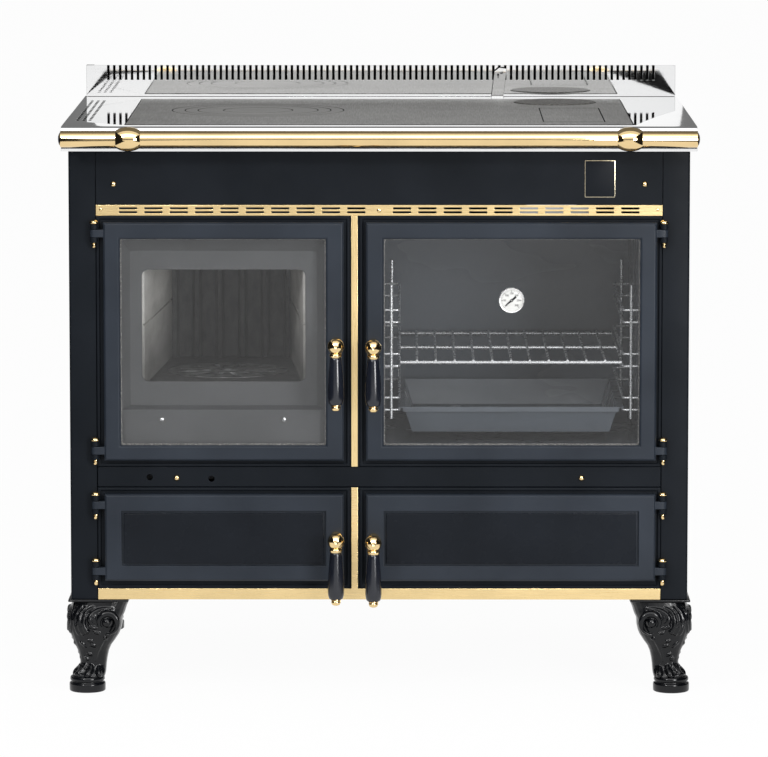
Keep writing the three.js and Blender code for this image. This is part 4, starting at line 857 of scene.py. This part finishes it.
def hob_ring(node, outside, inside):
    lip = outside - 0.4
    neck = lip - 6.4
    section = [
        (inside - 6, HOB_TOP - 12),
        (inside - 6, LEDGE - 0.2),
        (inside - 0.2, LEDGE),
        (inside, HOB_TOP - 0.6),
        (inside + 0.6, HOB_TOP),
        (lip - 0.7, HOB_TOP),
        (lip, HOB_TOP - 0.7),
        (lip, LEDGE + 0.3),
        (neck, LEDGE + 0.3),
        (neck, HOB_TOP - 12),
    ]
    place = {"centre": at(*RING_CENTRE, 0), "closed": True}
    turned(node + "_turned", section, 96, ring_iron, body_of_node[node], [node], "ground_steel", **place)


for name, outside, inside in zip(("outer", "middle", "inner"), RING_RADII, RING_RADII[1:]):
    hob_ring("hob_ring_" + name, outside, inside)


def hob_disc(node, place, radius, proud, finish, slot):
    lip = radius - 0.4
    top = HOB_TOP + proud
    section = [
        (0, HOB_TOP - 12),
        (lip - 6.4, HOB_TOP - 12),
        (lip - 6.4, LEDGE + 0.3),
        (lip, LEDGE + 0.3),
        (lip, top - 0.8),
        (lip - 0.8, top),
        (lip * 0.6, top),
        (0, top),
    ]
    body = body_of_node[node]
    turned(node + "_turned", section, 96, finish, body, [node], slot, centre=at(*place, 0))


hob_disc("hob_lid", RING_CENTRE, RING_RADII[3], 0, ring_iron, "ground_steel")
hob_disc("flue_cover", FLUE_CENTRE, FLUE_RADIUS, 1.5, cover_iron, "rough_iron")
softened("cleaning_cover", hob_iron, 0.6, 2)
print("rings and covers ready")

# %% [markdown]
# The hob plate has two round seats and a rectangular one. Filling a flat outline with holes in it is what
# triangle_fill is for; extruding the filled sheet then gives it its thickness. It is done twice, with
# wide holes above the ledge and narrow ones below, which leaves the steps that the rings sit on.

# %% Hob plate


def pierced_sheet(bm, x, y, top, bottom, rounds, squares, lip=0.6):
    """A flat plate between two heights with round and square holes, its upper rims rounded."""
    edges = []

    for (left, right), (front, back) in [(x, y), *squares]:
        outline = ((left, front), (right, front), (right, back), (left, back))
        corners = [bm.verts.new(at(*corner, top)) for corner in outline]
        for a, b in zip(corners, corners[1:] + corners[:1]):
            edges.append(bm.edges.new((a, b)))
    for (cx, cy), radius in rounds:
        ring = bmesh.ops.create_circle(
            bm, segments=96, radius=radius * MM, matrix=Matrix.Translation(at(cx, cy, top))
        )["verts"]
        edges.extend({e for v in ring for e in v.link_edges})
    filled = bmesh.ops.triangle_fill(bm, use_beauty=True, edges=edges)
    faces = [f for f in filled["geom"] if isinstance(f, bmesh.types.BMFace)]
    rims = list(edges)
    grown = bmesh.ops.extrude_face_region(bm, geom=faces)
    lowered = [v for v in grown["geom"] if isinstance(v, bmesh.types.BMVert)]
    bmesh.ops.translate(bm, verts=lowered, vec=(0, 0, (bottom - top) * MM))
    bmesh.ops.recalc_face_normals(bm, faces=bm.faces)
    return bevelled(bm, [e for e in rims if e.is_valid], lip, 2)


def hob_plate():
    bm = bmesh.new()
    rounds = [(RING_CENTRE, RING_RADII[0]), (FLUE_CENTRE, FLUE_RADIUS)]
    strips = pierced_sheet(bm, HOB_X, HOB_Y, HOB_TOP, LEDGE, rounds, [(COVER_X, COVER_Y)])
    crease(bm, 30, strips)
    under = bmesh.new()
    step = 6
    narrow = [(place, radius - step) for place, radius in rounds]
    inner_x = (COVER_X[0] + step, COVER_X[1] - step)
    inner_y = (COVER_Y[0] + step, COVER_Y[1] - step)
    pierced_sheet(under, (-400.9, 400.9), (35.1, 596.9), LEDGE, 892.9, narrow, [(inner_x, inner_y)], 0.3)
    poured_in(bm, under)
    return piece(bm, "hob_plate_ground", hob_iron, "stove", ["hob_plate"])


hob_plate()
print("hob plate ready")

# %% [markdown]
# The worktop and the upstand are folded from one millimetre and a half of stainless steel, so their
# corners are crisp. The damper is a flat strip that leans a little, with a generic arrow stamped on
# it to say which way it is pulled.

# %% Worktop, upstand and damper
worktop = softened("worktop", steel_sheet, 0.35, 2, 40)
upstand = softened("upstand", steel_sheet, 0.25, 1, 40)
damper = softened("damper_slide", steel_sheet, 0.3, 1)


def shaded_slot_walls(x, y, z, normal):
    """The walls of the slots in the worktop's left edge, which take painted shade."""
    return -486 < x < -457 and abs(normal.z) < 0.6 and z > 902


def shaded_upstand_hollow(x, y, z, normal):
    """The slots' walls and the hollow of the upstand, but not its skin, which take painted shade."""
    return 661.4 < y < 674.6 and 906.4 < z < 958.2 and abs(x) < 501.5


# Painted shade: the walls of the worktop's slots and the upstand's hollow are coloured dead black.
also_finished(worktop, black_ink_and_shade, shaded_slot_walls)
also_finished(upstand, black_ink_and_shade, shaded_upstand_hollow)


def damper_arrow():
    """A small raised arrow on the damper's front, pointing up."""
    face = max((f for f in damper.data.polygons if f.normal.y < -0.8), key=lambda f: f.area)
    tilt = math.atan2(face.normal.z, -face.normal.y)
    bm = bmesh.new()
    bmesh.ops.create_circle(bm, cap_ends=True, segments=3, radius=2.8 * MM)
    stem = bmesh.ops.create_grid(bm, x_segments=1, y_segments=1, size=0.5)["verts"]
    bmesh.ops.scale(bm, verts=stem, vec=(1.4 * MM, 5 * MM, 1))
    bmesh.ops.translate(bm, verts=stem, vec=(0, -3.5 * MM, 0))
    raised = bmesh.ops.extrude_face_region(bm, geom=bm.faces[:])
    tops = [v for v in raised["geom"] if isinstance(v, bmesh.types.BMVert)]
    bmesh.ops.translate(bm, verts=tops, vec=(0, 0, 0.25 * MM))
    upright = Matrix.Rotation(math.radians(90) - tilt, 3, "X")
    bmesh.ops.rotate(bm, verts=bm.verts, cent=(0, 0, 0), matrix=upright)
    raise_by = at(0, 0, 944).z - face.center.z
    on_face = face.center + Vector((0, raise_by * math.tan(tilt), raise_by))
    bmesh.ops.translate(bm, verts=bm.verts, vec=on_face)
    return piece(bm, "damper_arrow", black_ink_and_shade, body_of_node["damper_slide"])


damper_arrow()
print("worktop ready")

# %% [markdown]
# The handrail is a polished tube. Its ends are closed by dark plugs inside a thin brass rim. The two
# brackets are turned: a barrel that the tube passes through, a post, and a flat rosette against the
# worktop's edge.

# %% Handrail and brackets
RAIL_Y = -45.0
RAIL_Z = 889.6
BRACKET_X = 392.5
BARREL = 19.3  # both the largest radius and half the length of a bracket's barrel
along_rail = {"axis": (1, 0, 0), "centre": at(0, RAIL_Y, RAIL_Z)}
tube = [(0, 492), (11.7, 492), (11.7, 497.8), (12.2, 498.3), (12.7, 498), (13, 497.3)]
tube = [(r, -x) for r, x in tube] + [(r, x) for r, x in reversed(tube)]
turned("handrail_tube", tube, 64, polished_brass, "stove", ["handrail"], "polished_brass", **along_rail)
PLUG = ((0, 502), (5, 501.4), (9.4, 499.6), (11.5, 497.2), (11.5, 491), (0, 491))
for label, side in SIDES:
    plug = [(radius, x * side) for radius, x in PLUG]
    turned(label + "_rail_plug", plug, 48, grip_black, "stove", (), "black_grip", **along_rail)


def rail_bracket(label, side):
    bm = bmesh.new()
    middle = side * BRACKET_X
    barrel = [(13.1, middle + BARREL), (13.1, middle - BARREL)]
    for i in range(25):
        along = (-1 + i / 12) * BARREL
        barrel.append((BARREL * math.sqrt(1 - (along / 27) ** 2), middle + along))
    lathe(bm, barrel, 64, closed=True, **along_rail)
    post = [(0, -29), (7.4, -29), (7.4, -25), (6.2, -23.5), (6.2, -13), (8, -11), (8, -8.5), (7, -6.5)]
    post += [(12.2, -4.6), (13, -3.4), (13, -0.6), (12.6, -0.3), (0, -0.3)]
    lathe(bm, rounded(post, 0.8, 2), 48, axis=(0, 1, 0), centre=at(middle, 0, RAIL_Z))
    bmesh.ops.recalc_face_normals(bm, faces=bm.faces)
    crease(bm, 32)
    node = label + "_rail_bracket"
    piece(bm, node + "_turned", polished_brass, "stove", [node])


for label, side in SIDES:
    rail_bracket(label, side)
print("rail ready")

# %% [markdown]
# Each door handle is a brass ball on a spindle, and a black grip hangs from it on a brass core with a
# collar above and a small cap below. Four handles share one drawing. The ball has a dimple from the
# lathe's centre, and the grip swells below its middle so that a hand doesn't slip off.

# %% Handles
BALL_Y = -47.0


COLLAR_AND_CORE = (  # radius and height from the ball's middle, down to the cap under the grip
    *((4, -8), (7.6, -10.2), (9.2, -11.4), (10, -13), (10, -15), (9, -16.4), (8.4, -17.5), (4, -17.5)),
    *((4, -91.8), (7.6, -91.8), (8, -92.4), (8, -93.6), (6.7, -94.6), (7.4, -96), (7.5, -98)),
    *((6, -101), (3, -102.4), (0, -102.5)),
)
GRIP_SWELL = (  # share of the grip's height from its lower end, and radius
    *((0.0, 10.2), (0.02, 11.2), (0.07, 12.3), (0.15, 12.95), (0.27, 13), (0.42, 12.6)),
    *((0.58, 11.9), (0.74, 10.9), (0.88, 9.9), (0.96, 9.4), (0.99, 9.0), (1.0, 8.4)),
)
GRIP_LOW, GRIP_HIGH = -91.5, -17.8


def handle(door, x, z):
    body = door + "_handle_body"
    bm = bmesh.new()
    ball = [(0, BALL_Y - 11.4), (1.6, BALL_Y - 11.5), (2.6, BALL_Y - 12.2), (3.3, BALL_Y - 12.7)]
    for i in range(24):
        angle = math.radians(17 + i * 133 / 23)
        ball.append((13 * math.sin(angle), BALL_Y - 13 * math.cos(angle)))
    ball += [(5.6, -34.5), (5.4, -8), (6.4, -5), (8.6, -1.5), (9, 0.2), (9, 1.7), (6, 1.7)]
    ball += [(6, 15.7), (0, 15.7)]
    lathe(bm, ball, 48, axis=(0, 1, 0), centre=at(x, 0, z))
    lathe(bm, COLLAR_AND_CORE, 40, centre=at(x, BALL_Y, z))
    bmesh.ops.recalc_face_normals(bm, faces=bm.faces)
    crease(bm, 38)
    piece(bm, door + "_handle_turned", polished_brass, body, [door + "_handle"])
    skin = [(radius, GRIP_LOW + share * (GRIP_HIGH - GRIP_LOW)) for share, radius in GRIP_SWELL]
    section = [(4.3, GRIP_HIGH), (4.3, GRIP_LOW), *skin]
    place = {"centre": at(x, BALL_Y, z), "closed": True}
    turned(door + "_grip_turned", section, 48, grip_black, body, [door + "_grip"], "black_grip", **place)


handle("firebox", -67.9, 563.5)
handle("oven", -8.8, 561.5)
handle("lower_left", -67.9, 254)
handle("lower_right", -8.8, 251)
print("handles ready")

# %% [markdown]
# The flue collar is a rolled tube with a flange, screwed to the back.

# %% Flue collar
FLUE_OUTLET = (290, 770)
collar = [(67, 649.8), (70, 649.8), (70, 661.6), (90, 661.6), (90, 664.6), (71, 664.6), (70, 666)]
collar += [(70, 701), (69.2, 701.5), (67.6, 701.5), (67, 701)]
names = {"replaced": ["flue_collar"], "slot": "satin_black_steel"}
facing("flue_collar_turned", collar, 72, body_black, *FLUE_OUTLET, closed=True, **names)
print("collar ready")

# %% [markdown]
# The oven's ladders and shelf are chromed wire. A wire is a path with a thickness, which is what a
# curve with a round bevel is. Wires of one thickness share a curve, each as its own spline, and a
# rack's curves are joined, so the rack stays one piece.

# %% Wires


def wires(name, groups, finish, body, replaced):
    """Curves for lists of (radius in mm, paths, closed), joined into one mesh piece."""
    bm = bmesh.new()
    for radius, paths, cyclic in groups:
        curve = bar_curve(radius * MM, 3)
        for path in paths:
            spline = curve.splines.new("POLY")
            spline.points.add(len(path) - 1)
            for point, place in zip(spline.points, path):
                point.co = (*at(*place), 1)
            spline.use_cyclic_u = cyclic
        taken_in(bm, mesh_of(curve))
    crease(bm, 50)
    return piece(bm, name, finish, body, replaced)


RUNGS = (610.0, 590.5, 540.0, 520.5, 470.0, 450.5)


def oven_rack(label, side):
    wall = 6.8 if side < 0 else 412.2
    inner = wall - side * 25
    front, back = 54.3, 450.3
    rungs = [
        rounded([(wall, front, z), (inner, front, z), (inner, back, z), (wall, back, z)], 5, 4) for z in RUNGS
    ]
    middle = wall - side * 12.5
    posts = [[(middle, y, 436.5), (middle, y, 650)] for y in (52.3, 452.3)]
    groups = [(2.0, rungs, False), (2.4, posts, False)]
    return wires(label + "_oven_rack_wire", groups, chrome, "stove", [label + "_oven_rack"])


def oven_shelf():
    left, right, middle, pitch = 33.8, 385.2, 209.5, 29.9
    bar_z, run_z = 525.8, 528.8
    bars = [[(left, y, bar_z), (right, y, bar_z)] for y in (60.3, 262.3, 464.3)]
    places = [middle + (i - 5) * pitch for i in range(11)]
    runs = [[(x, 56.3, run_z), (x, 466.3, run_z)] for x in places]
    groups = [(3.0, bars, False), (1.9, runs, False)]
    return wires("oven_shelf_wire", groups, chrome, "shelf_body", ["oven_shelf"])


for label, side in SIDES:
    oven_rack(label, side)
oven_shelf()
print("wires ready")

# %% [markdown]
# A glass-fibre rope lies behind each pane. It presses on the front frame when the door is shut, and
# through the glass it shows as a pale speckled line at the window's edge.

# %% Rope seals


def rope_seal(door, x, z):
    grow = 0.8
    left, right, low, high = x[0] - grow, x[1] + grow, z[0] - grow, z[1] + grow
    loop = [(left, 15.0, low), (right, 15.0, low), (right, 15.0, high), (left, 15.0, high)]
    path = rounded(loop + loop[:2], 7, 4)[1:-1]
    body = door + "_door_body"
    return wires(door + "_rope", [(2.7, [path], True)], rope, body, [door + "_gasket"])


rope_seal("firebox", (-408.5, -84.2), (400.0, 727.5))
rope_seal("oven", (7.5, 411.5), (400.0, 727.5))
print("seals ready")

# %% [markdown]
# The thermometer has a turned case, a white dial sunk under its rim, and a pointer on a body of its
# own. Figures and marks are printed on the dial, so they stand a hair above it.

# %% Thermometer
DIAL = (209.0, 631.0)


def print_ink(name, colour):
    material, tree, shader, place = start_finish(name, colour, 0.5, 0.0, 0.3)
    lighter = tuple(c * 1.6 + 0.004 for c in colour)
    wear = ramp(tree, noise(tree, place, 800, 3), [(0.35, colour), (0.8, lighter)])
    tree.links.new(wear, shader.inputs["Base Color"])
    return material


def dial_enamel():
    material, tree, shader, place = start_finish("dial_enamel", (0.8, 0.8, 0.78), 0.35)
    age = noise(tree, place, 90, 4)
    tone = ramp(tree, age, [(0.3, (0.5, 0.5, 0.485)), (0.7, (0.6, 0.6, 0.585))])
    tree.links.new(tone, shader.inputs["Base Color"])
    return material


dial_ink = print_ink("dial_ink", (0.01, 0.01, 0.012))
dial_white = dial_enamel()
case = [(0, 13.2), (9.6, 13.2), (9.8, 12.6), (9.8, 12.3), (5, 12.3), (5, 7.7), (20, 7.7), (20, 1.6)]
case += [(19.6, 0.4), (18.9, -0.3), (18.2, -0.1), (17.7, 0.5), (17.6, 2.8), (0, 2.8)]
facing("thermometer_case", case, 72, chrome, *DIAL, "oven_door_body", ["thermometer"], "dial_white")
face = [(0, 2.75), (17.5, 2.75), (17.5, 2.55), (17.3, 2.45), (0, 2.45)]
facing("thermometer_dial", face, 72, dial_white, *DIAL, "oven_door_body", (), "dial_white")


def on_dial(angle, radius):
    return at(DIAL[0] + radius * math.cos(angle), 2.4, DIAL[1] + radius * math.sin(angle))


def dial_marks():
    """Thirty-one strokes from lower left over the top to lower right, and seven figures."""
    bm = bmesh.new()
    for i in range(31):
        angle = math.radians(225 - i * 9)
        length, width = (2.9, 0.7) if i % 5 == 0 else (1.6, 0.36)
        made = block(bm, (length, 0.2, width))
        bmesh.ops.rotate(bm, verts=made, cent=(0, 0, 0), matrix=Matrix.Rotation(-angle, 3, "Y"))
        bmesh.ops.translate(bm, verts=made, vec=on_dial(angle, 16.2 - length / 2))
    for i in range(7):
        angle = math.radians(225 - i * 45)
        text = bpy.data.curves.new("figure", "FONT")
        text.body = str(i * 50)
        text.size = 4.2 * MM
        text.offset = 0.06 * MM
        text.align_x = "CENTER"
        text.align_y = "CENTER"
        text.extrude = 0.1 * MM
        made = taken_in(bm, mesh_of(text))
        upright = Matrix.Rotation(math.radians(90), 3, "X")
        bmesh.ops.rotate(bm, verts=made, cent=(0, 0, 0), matrix=upright)
        bmesh.ops.translate(bm, verts=made, vec=on_dial(angle, 11))
    return piece(bm, "dial_figures", dial_ink, "oven_door_body")


dial_marks()
softened("thermometer_needle", dial_ink, 0.15, 1)
print("thermometer ready")

# %% [markdown]
# Small brass and steel fasteners are what makes sheet metal believable: domed screws on the fascia
# and the middle rail, caps and tips on the hinge pins, a button on the vent strip. A small plate
# sits at the right end of the fascia.

# %% Fasteners


def dome(name, x, z, y, radius, height, finish):
    """A domed head on a surface that faces the front."""
    section = [(0, y - height)]
    for i in range(1, 9):
        angle = math.radians(90 * i / 8)
        section.append((radius * math.sin(angle), y - height * math.cos(angle)))
    section += [(radius, y + 0.3), (0, y + 0.3)]
    facing(name, section, 32, finish, x, z)


WASHER = ((0, 21.6), (6.4, 21.6), (6.8, 22), (6.8, 22.6), (0, 22.6))
SCREWS = (  # name, places across, height, y of the surface, radius, how far it stands out, finish
    ("fascia_screw", (-418.8, 418.8), 813.8, 18, 4.9, 4.0, polished_brass),
    ("rail_screw", (-321, 321), 346, 18, 4.9, 4.0, polished_brass),
    ("strip_screw", (-439, 439), 773.5, 16.3, 2.6, 1.1, polished_brass),
    ("strip_button", (0,), 772.2, 16.3, 3.4, 1.5, polished_brass),
    ("front_plate_screw", (-343.7, -150.3), 439, 22.4, 3.6, 2.4, chrome),
    ("barrel_grub", (-BRACKET_X, BRACKET_X), RAIL_Z, RAIL_Y - 18.8, 1.5, 0.5, grip_black),
)
for name, places, z, y, radius, height, finish in SCREWS:
    for i, x in enumerate(places):
        dome(f"{name}_{i}" if len(places) > 1 else name, x, z, y, radius, height, finish)
        if name == "front_plate_screw":
            facing(f"front_plate_washer_{i}", WASHER, 32, iron, x, z)


HINGE_X = 449.5
HINGE_HEIGHTS = (736.5, 391.0, 304.0, 198.0)


def hinge_caps():
    """A brass dome above and a brass tip below each hinge ear."""
    bm = bmesh.new()
    top = [(0, 21.7), (2.4, 21.5), (4.8, 20.6), (6.6, 19), (7.5, 17.2), (7.4, 16.2), (6.6, 15.4)]
    top += [(5.2, 15), (0, 15)]
    tip = [(0, -15), (4.6, -15), (4.8, -16), (3.2, -17.2), (3.3, -20), (2.8, -22), (1.4, -23.2), (0, -23.4)]
    for side in (-1, 1):
        for z in HINGE_HEIGHTS:
            centre = at(side * HINGE_X, 9, z)
            lathe(bm, top, 32, centre=centre)
            lathe(bm, tip, 24, centre=centre)
    bmesh.ops.recalc_face_normals(bm, faces=bm.faces)
    crease(bm, 40)
    return piece(bm, "hinge_caps", polished_brass, "stove")


hinge_caps()


def badge_plate():
    """A black plate in a thin gilt border."""
    wide, high, back = 48, 58.5, 18
    x, z = 348, 822.05
    layers = (("badge_border", 0, 16.9, badge_gilt), ("badge_field", 0.9, 16.7, body_black))
    for name, border, front, finish in layers:
        bm = bmesh.new()
        size = (wide - 2 * border, back - front, high - 2 * border)
        block(bm, size, at(x, (back + front) / 2, z))
        corners = [e for e in bm.edges if abs(e.verts[0].co.y - e.verts[1].co.y) > 1e-5]
        bevelled(bm, corners, 1.4 - border * 0.6, 5)
        rim = [e for e in bm.edges if all(v.co.y < at(0, front + 0.01, 0).y for v in e.verts)]
        bevelled(bm, rim, 0.25, 2)
        crease(bm, 30)
        piece(bm, name, finish, "stove")


badge_plate()
print("fasteners ready")

# %% [markdown]
# The four legs are black iron castings: a scroll with a ball in it on each outer face, leaves that
# fan out of the scroll, and a round pad in two tiers. A carver first saws the block and then lays
# the leaves on it, so the leg is made the same way. Rings of the block's outline are bridged into a
# trunk, tapered ridges are laid along its faces, half sunk, and a voxel remesh melts them together
# with the soft inner corners that molten iron leaves. A sum of separate ridges would show hard seams.

# %% The leg's block
LEG_OUTLINE = (  # height, outermost and innermost edge, both measured inwards from the stove's corner
    (147.5, 0.5, 92.5),
    (136, -2, 87),
    (126, -4.5, 84),
    (118, -6, 80),
    (107, -6, 79.5),
    (98, -5, 77.5),
    (92, -3, 75),
    (82, 1, 68.5),
    (74, 4.5, 62.5),
    (65, 8.5, 58.5),
    (54, 11.5, 56),
    (43, 12.5, 54.5),
    (36, 10.5, 54),
    (30, 5, 53.5),
    (24, 1.5, 52),
)
SQUARE = 3.2  # 2 is a circle, and a larger number is a squarer block


def leg_edges(z):
    """The outermost and the innermost edge of the block at a height."""
    for upper, lower in zip(LEG_OUTLINE, LEG_OUTLINE[1:]):
        if z >= lower[0]:
            share = (upper[0] - min(z, upper[0])) / (upper[0] - lower[0])
            return tuple(a + (b - a) * share for a, b in zip(upper[1:], lower[1:]))
    return LEG_OUTLINE[-1][1:]


def leg_face(across, z):
    """How deep the block's outer face lies at a point of it."""
    low, high = leg_edges(z)
    half = (high - low) / 2
    share = min(0.985, abs(across - low - half) / half)
    return low + half - half * (1 - share**SQUARE) ** (1 / SQUARE)


def leg_trunk(bm):
    loops = []
    for z, low, high in LEG_OUTLINE:
        half = (high - low) / 2
        ring = bmesh.ops.create_circle(bm, segments=32, radius=1)["verts"]
        loops += {e for v in ring for e in v.link_edges}
        for vert in ring:
            reach = (abs(vert.co.x) ** SQUARE + abs(vert.co.y) ** SQUARE) ** (-1 / SQUARE)
            vert.co = Vector((vert.co.x, vert.co.y, 0)) * reach * half + Vector((low + half, low + half, z))
    bmesh.ops.bridge_loops(bm, edges=loops)
    bmesh.ops.holes_fill(bm, edges=[e for e in bm.edges if e.is_boundary])


print("leg outline of", len(LEG_OUTLINE), "rings")

# %% [markdown]
# Each ridge is a few points on the face, with the ridge's half width at each. A curve through them
# is thickened by those widths, and turned into a mesh.

# %% The leg's carving
LEG_RIDGES = (  # points of (across, height, half width) on an outer face, mm
    ((66, 136, 1), (51, 136, 2), (38, 131, 3.2), (30, 122.5, 4), (32, 115, 3.4), (39, 112, 1)),
    ((49, 130.5, 1), (40, 127, 2), (36, 121, 3), (38, 115, 1.2)),
    ((38, 139, 1.4), (25.5, 131.6, 2.5), (20, 118.4, 3), (21, 107.3, 3.6), (27, 97, 4.4)),
    ((24.5, 138.5, 1.4), (15.5, 128.3, 2.4), (12.7, 115, 3), (15, 103, 3.2), (20, 93.5, 2.4)),
    ((17, 139, 1.2), (8.5, 128, 2.2), (5.5, 116, 2.6), (8.2, 103, 2.6), (12, 94, 1.8)),
    ((9, 140, 1.4), (2.5, 131, 2.6), (-0.5, 120, 2.2), (0.5, 108, 1.6)),
    ((27, 110, 3), (34, 107, 2.8), (42, 104.5, 1.4)),
    ((35, 99.5, 1.6), (41, 98, 2.3), (47, 97, 1.4)),
    ((51, 90, 2), (54, 88.3, 2.6), (57, 87, 1.8)),
    ((25, 86, 1.6), (30, 84.6, 2.5), (35.5, 83, 1.6)),
    ((28.5, 78, 1.6), (34, 76.5, 2.5), (39.5, 75, 1.6)),
    ((13.5, 82, 1.6), (18, 78.5, 2.6), (24, 73.5, 1.6)),
    ((24, 64, 1.4), (28, 61.5, 2.2), (33, 59, 1.2)),
    ((19.5, 57, 1.3), (23, 54, 2.1), (27, 50.5, 1.2)),
    ((52, 86, 1), (45, 74, 2.2), (40, 62, 2), (37, 48, 1.2)),
    ((23, 46, 1.4), (18.5, 37, 3.2), (9, 29.5, 3.4), (3, 26.5, 1.6)),
    ((31, 45, 1.4), (30, 36, 4.2), (25, 28, 4.4), (22, 24, 2)),
    ((42, 42, 1.4), (43, 34, 4), (43.5, 28, 4.4), (43, 24, 2)),
    ((17, 45, 1), (12, 39, 2), (8, 34, 2.2)),
)


def through(points, steps=6):
    """A smooth path through the points: each stretch bends towards its neighbours."""
    points = [Vector(p) for p in points]
    ends = [points[0] * 2 - points[1], *points, points[-1] * 2 - points[-2]]
    path = []
    for a, b, c, d in zip(ends, ends[1:], ends[2:], ends[3:]):
        for i in range(steps):
            t = i / steps
            bend = (2 * a - 5 * b + 4 * c - d) * t**2 + (3 * b - a - 3 * c + d) * t**3
            path.append(0.5 * (2 * b + (c - a) * t + bend))
    return path + [points[-1]]


def tapered(bm, path):
    """A round ridge along points of (x, y, z, half width)."""
    curve = bar_curve(1, 2)
    spline = curve.splines.new("POLY")
    spline.points.add(len(path) - 1)
    for i, (point, (x, y, z, width)) in enumerate(zip(spline.points, path)):
        point.co = (x, y, z, 1)
        point.radius = width * (0.45 if i in (0, len(path) - 1) else 1)
    bmesh.ops.remove_doubles(bm, verts=taken_in(bm, mesh_of(curve)), dist=1e-4)


def scroll_path():
    """The scroll: from under the ball round to the left, over the top and down on the right."""
    path = []
    for i in range(41):
        share = i / 40
        angle = math.radians(228 - 330 * share)
        reach = 12 + 7.2 * share**1.1
        width = min(5.4, 1.6 + 12 * share, 1.4 + 11 * (1 - share))
        path.append((57 + reach * math.cos(angle), -6, 114 + reach * math.sin(angle), width))
    return path


def leg_carving(bm):
    for points in LEG_RIDGES:
        tapered(bm, [(p.x, leg_face(p.x, p.y) - 0.2 * p.z, p.y, p.z * 1.12) for p in through(points)])
    tapered(bm, scroll_path())
    ball = bmesh.ops.create_uvsphere(bm, u_segments=24, v_segments=16, radius=8)["verts"]
    bmesh.ops.translate(bm, verts=ball, vec=(56.5, -3.6, 114.5))


print("ridges on each face:", len(LEG_RIDGES))

# %% [markdown]
# One face is carved and mirrored across the leg's diagonal, because both outer faces are alike. The
# melted trunk is relaxed a little, then the plate and the pad, which were machined and stay crisp,
# are added. The finished leg is turned into each corner of the stove.

# %% Legs


def melted(bm, grain):
    """The closed shells of a bmesh melted into one skin."""
    mesh = bpy.data.meshes.new("melt")
    bm.to_mesh(mesh)
    bm.free()
    holder = bpy.data.objects.new("melt", mesh)
    bpy.context.scene.collection.objects.link(holder)
    change = holder.modifiers.new("melt", "REMESH")
    change.mode = "VOXEL"
    change.voxel_size = grain
    seen = holder.evaluated_get(bpy.context.evaluated_depsgraph_get())
    out = bmesh.new()
    out.from_mesh(seen.to_mesh())
    bpy.data.objects.remove(holder)
    return out


def carved_leg():
    bm = bmesh.new()
    leg_carving(bm)
    for vert in poured_in(bm, bm.copy()):
        vert.co = Vector((vert.co.y + 1.6, vert.co.x, vert.co.z))
    leg_trunk(bm)
    bmesh.ops.recalc_face_normals(bm, faces=bm.faces)
    leg = melted(bm, 1.15)
    every_way = {"use_axis_x": True, "use_axis_y": True, "use_axis_z": True}
    for turn in range(2):
        bmesh.ops.smooth_vert(leg, verts=leg.verts, factor=0.5, **every_way)
    bmesh.ops.scale(leg, verts=leg.verts, vec=(MM, MM, MM))
    crease(leg, 80)
    return leg


def leg_plate_and_pad():
    bm = bmesh.new()
    wide, thick, middle, height = 95.5, 3.9, 43.2 * MM, 149.05 * MM
    block(bm, (wide, wide, thick), (middle, middle, height))
    bevelled(bm, bm.edges[:], 1.3, 3)
    pad = [(0, 0.1), (27.4, 0.1), (28.8, 1.6), (29, 12.4), (28, 14.4), (26, 15), (25.7, 16.8)]
    pad += [(27.4, 17.8), (27.8, 19.6), (27.4, 22.6), (26, 24.4), (20, 25), (0, 25)]
    lathe(bm, rounded(pad, 1, 2), 64, centre=(24 * MM, 24 * MM, 0))
    bmesh.ops.recalc_face_normals(bm, faces=bm.faces)
    crease(bm, 40)
    return bm


LEG_CORNER_X = 490
LEG_CORNER_FRONT = 18
LEG_CORNER_BACK = 659


def place_leg(carved, name, side_x, side_y):
    bm = carved.copy()
    corner = at(LEG_CORNER_X * side_x, LEG_CORNER_FRONT if side_y < 0 else LEG_CORNER_BACK, 0)
    for vert in bm.verts:
        vert.co = corner + Vector((-side_x * vert.co.x, -side_y * vert.co.y, vert.co.z))
    return piece(bm, name + "_carved", paints["leg_black"], body_of_node[name], [name])


carved = carved_leg()
poured_in(carved, leg_plate_and_pad())
print("faces of a leg:", len(carved.faces))
for end, side_y in (("front", -1), ("rear", 1)):
    for label, side_x in SIDES:
        place_leg(carved, f"{end}_{label}_leg", side_x, side_y)
carved.free()
print("legs ready")
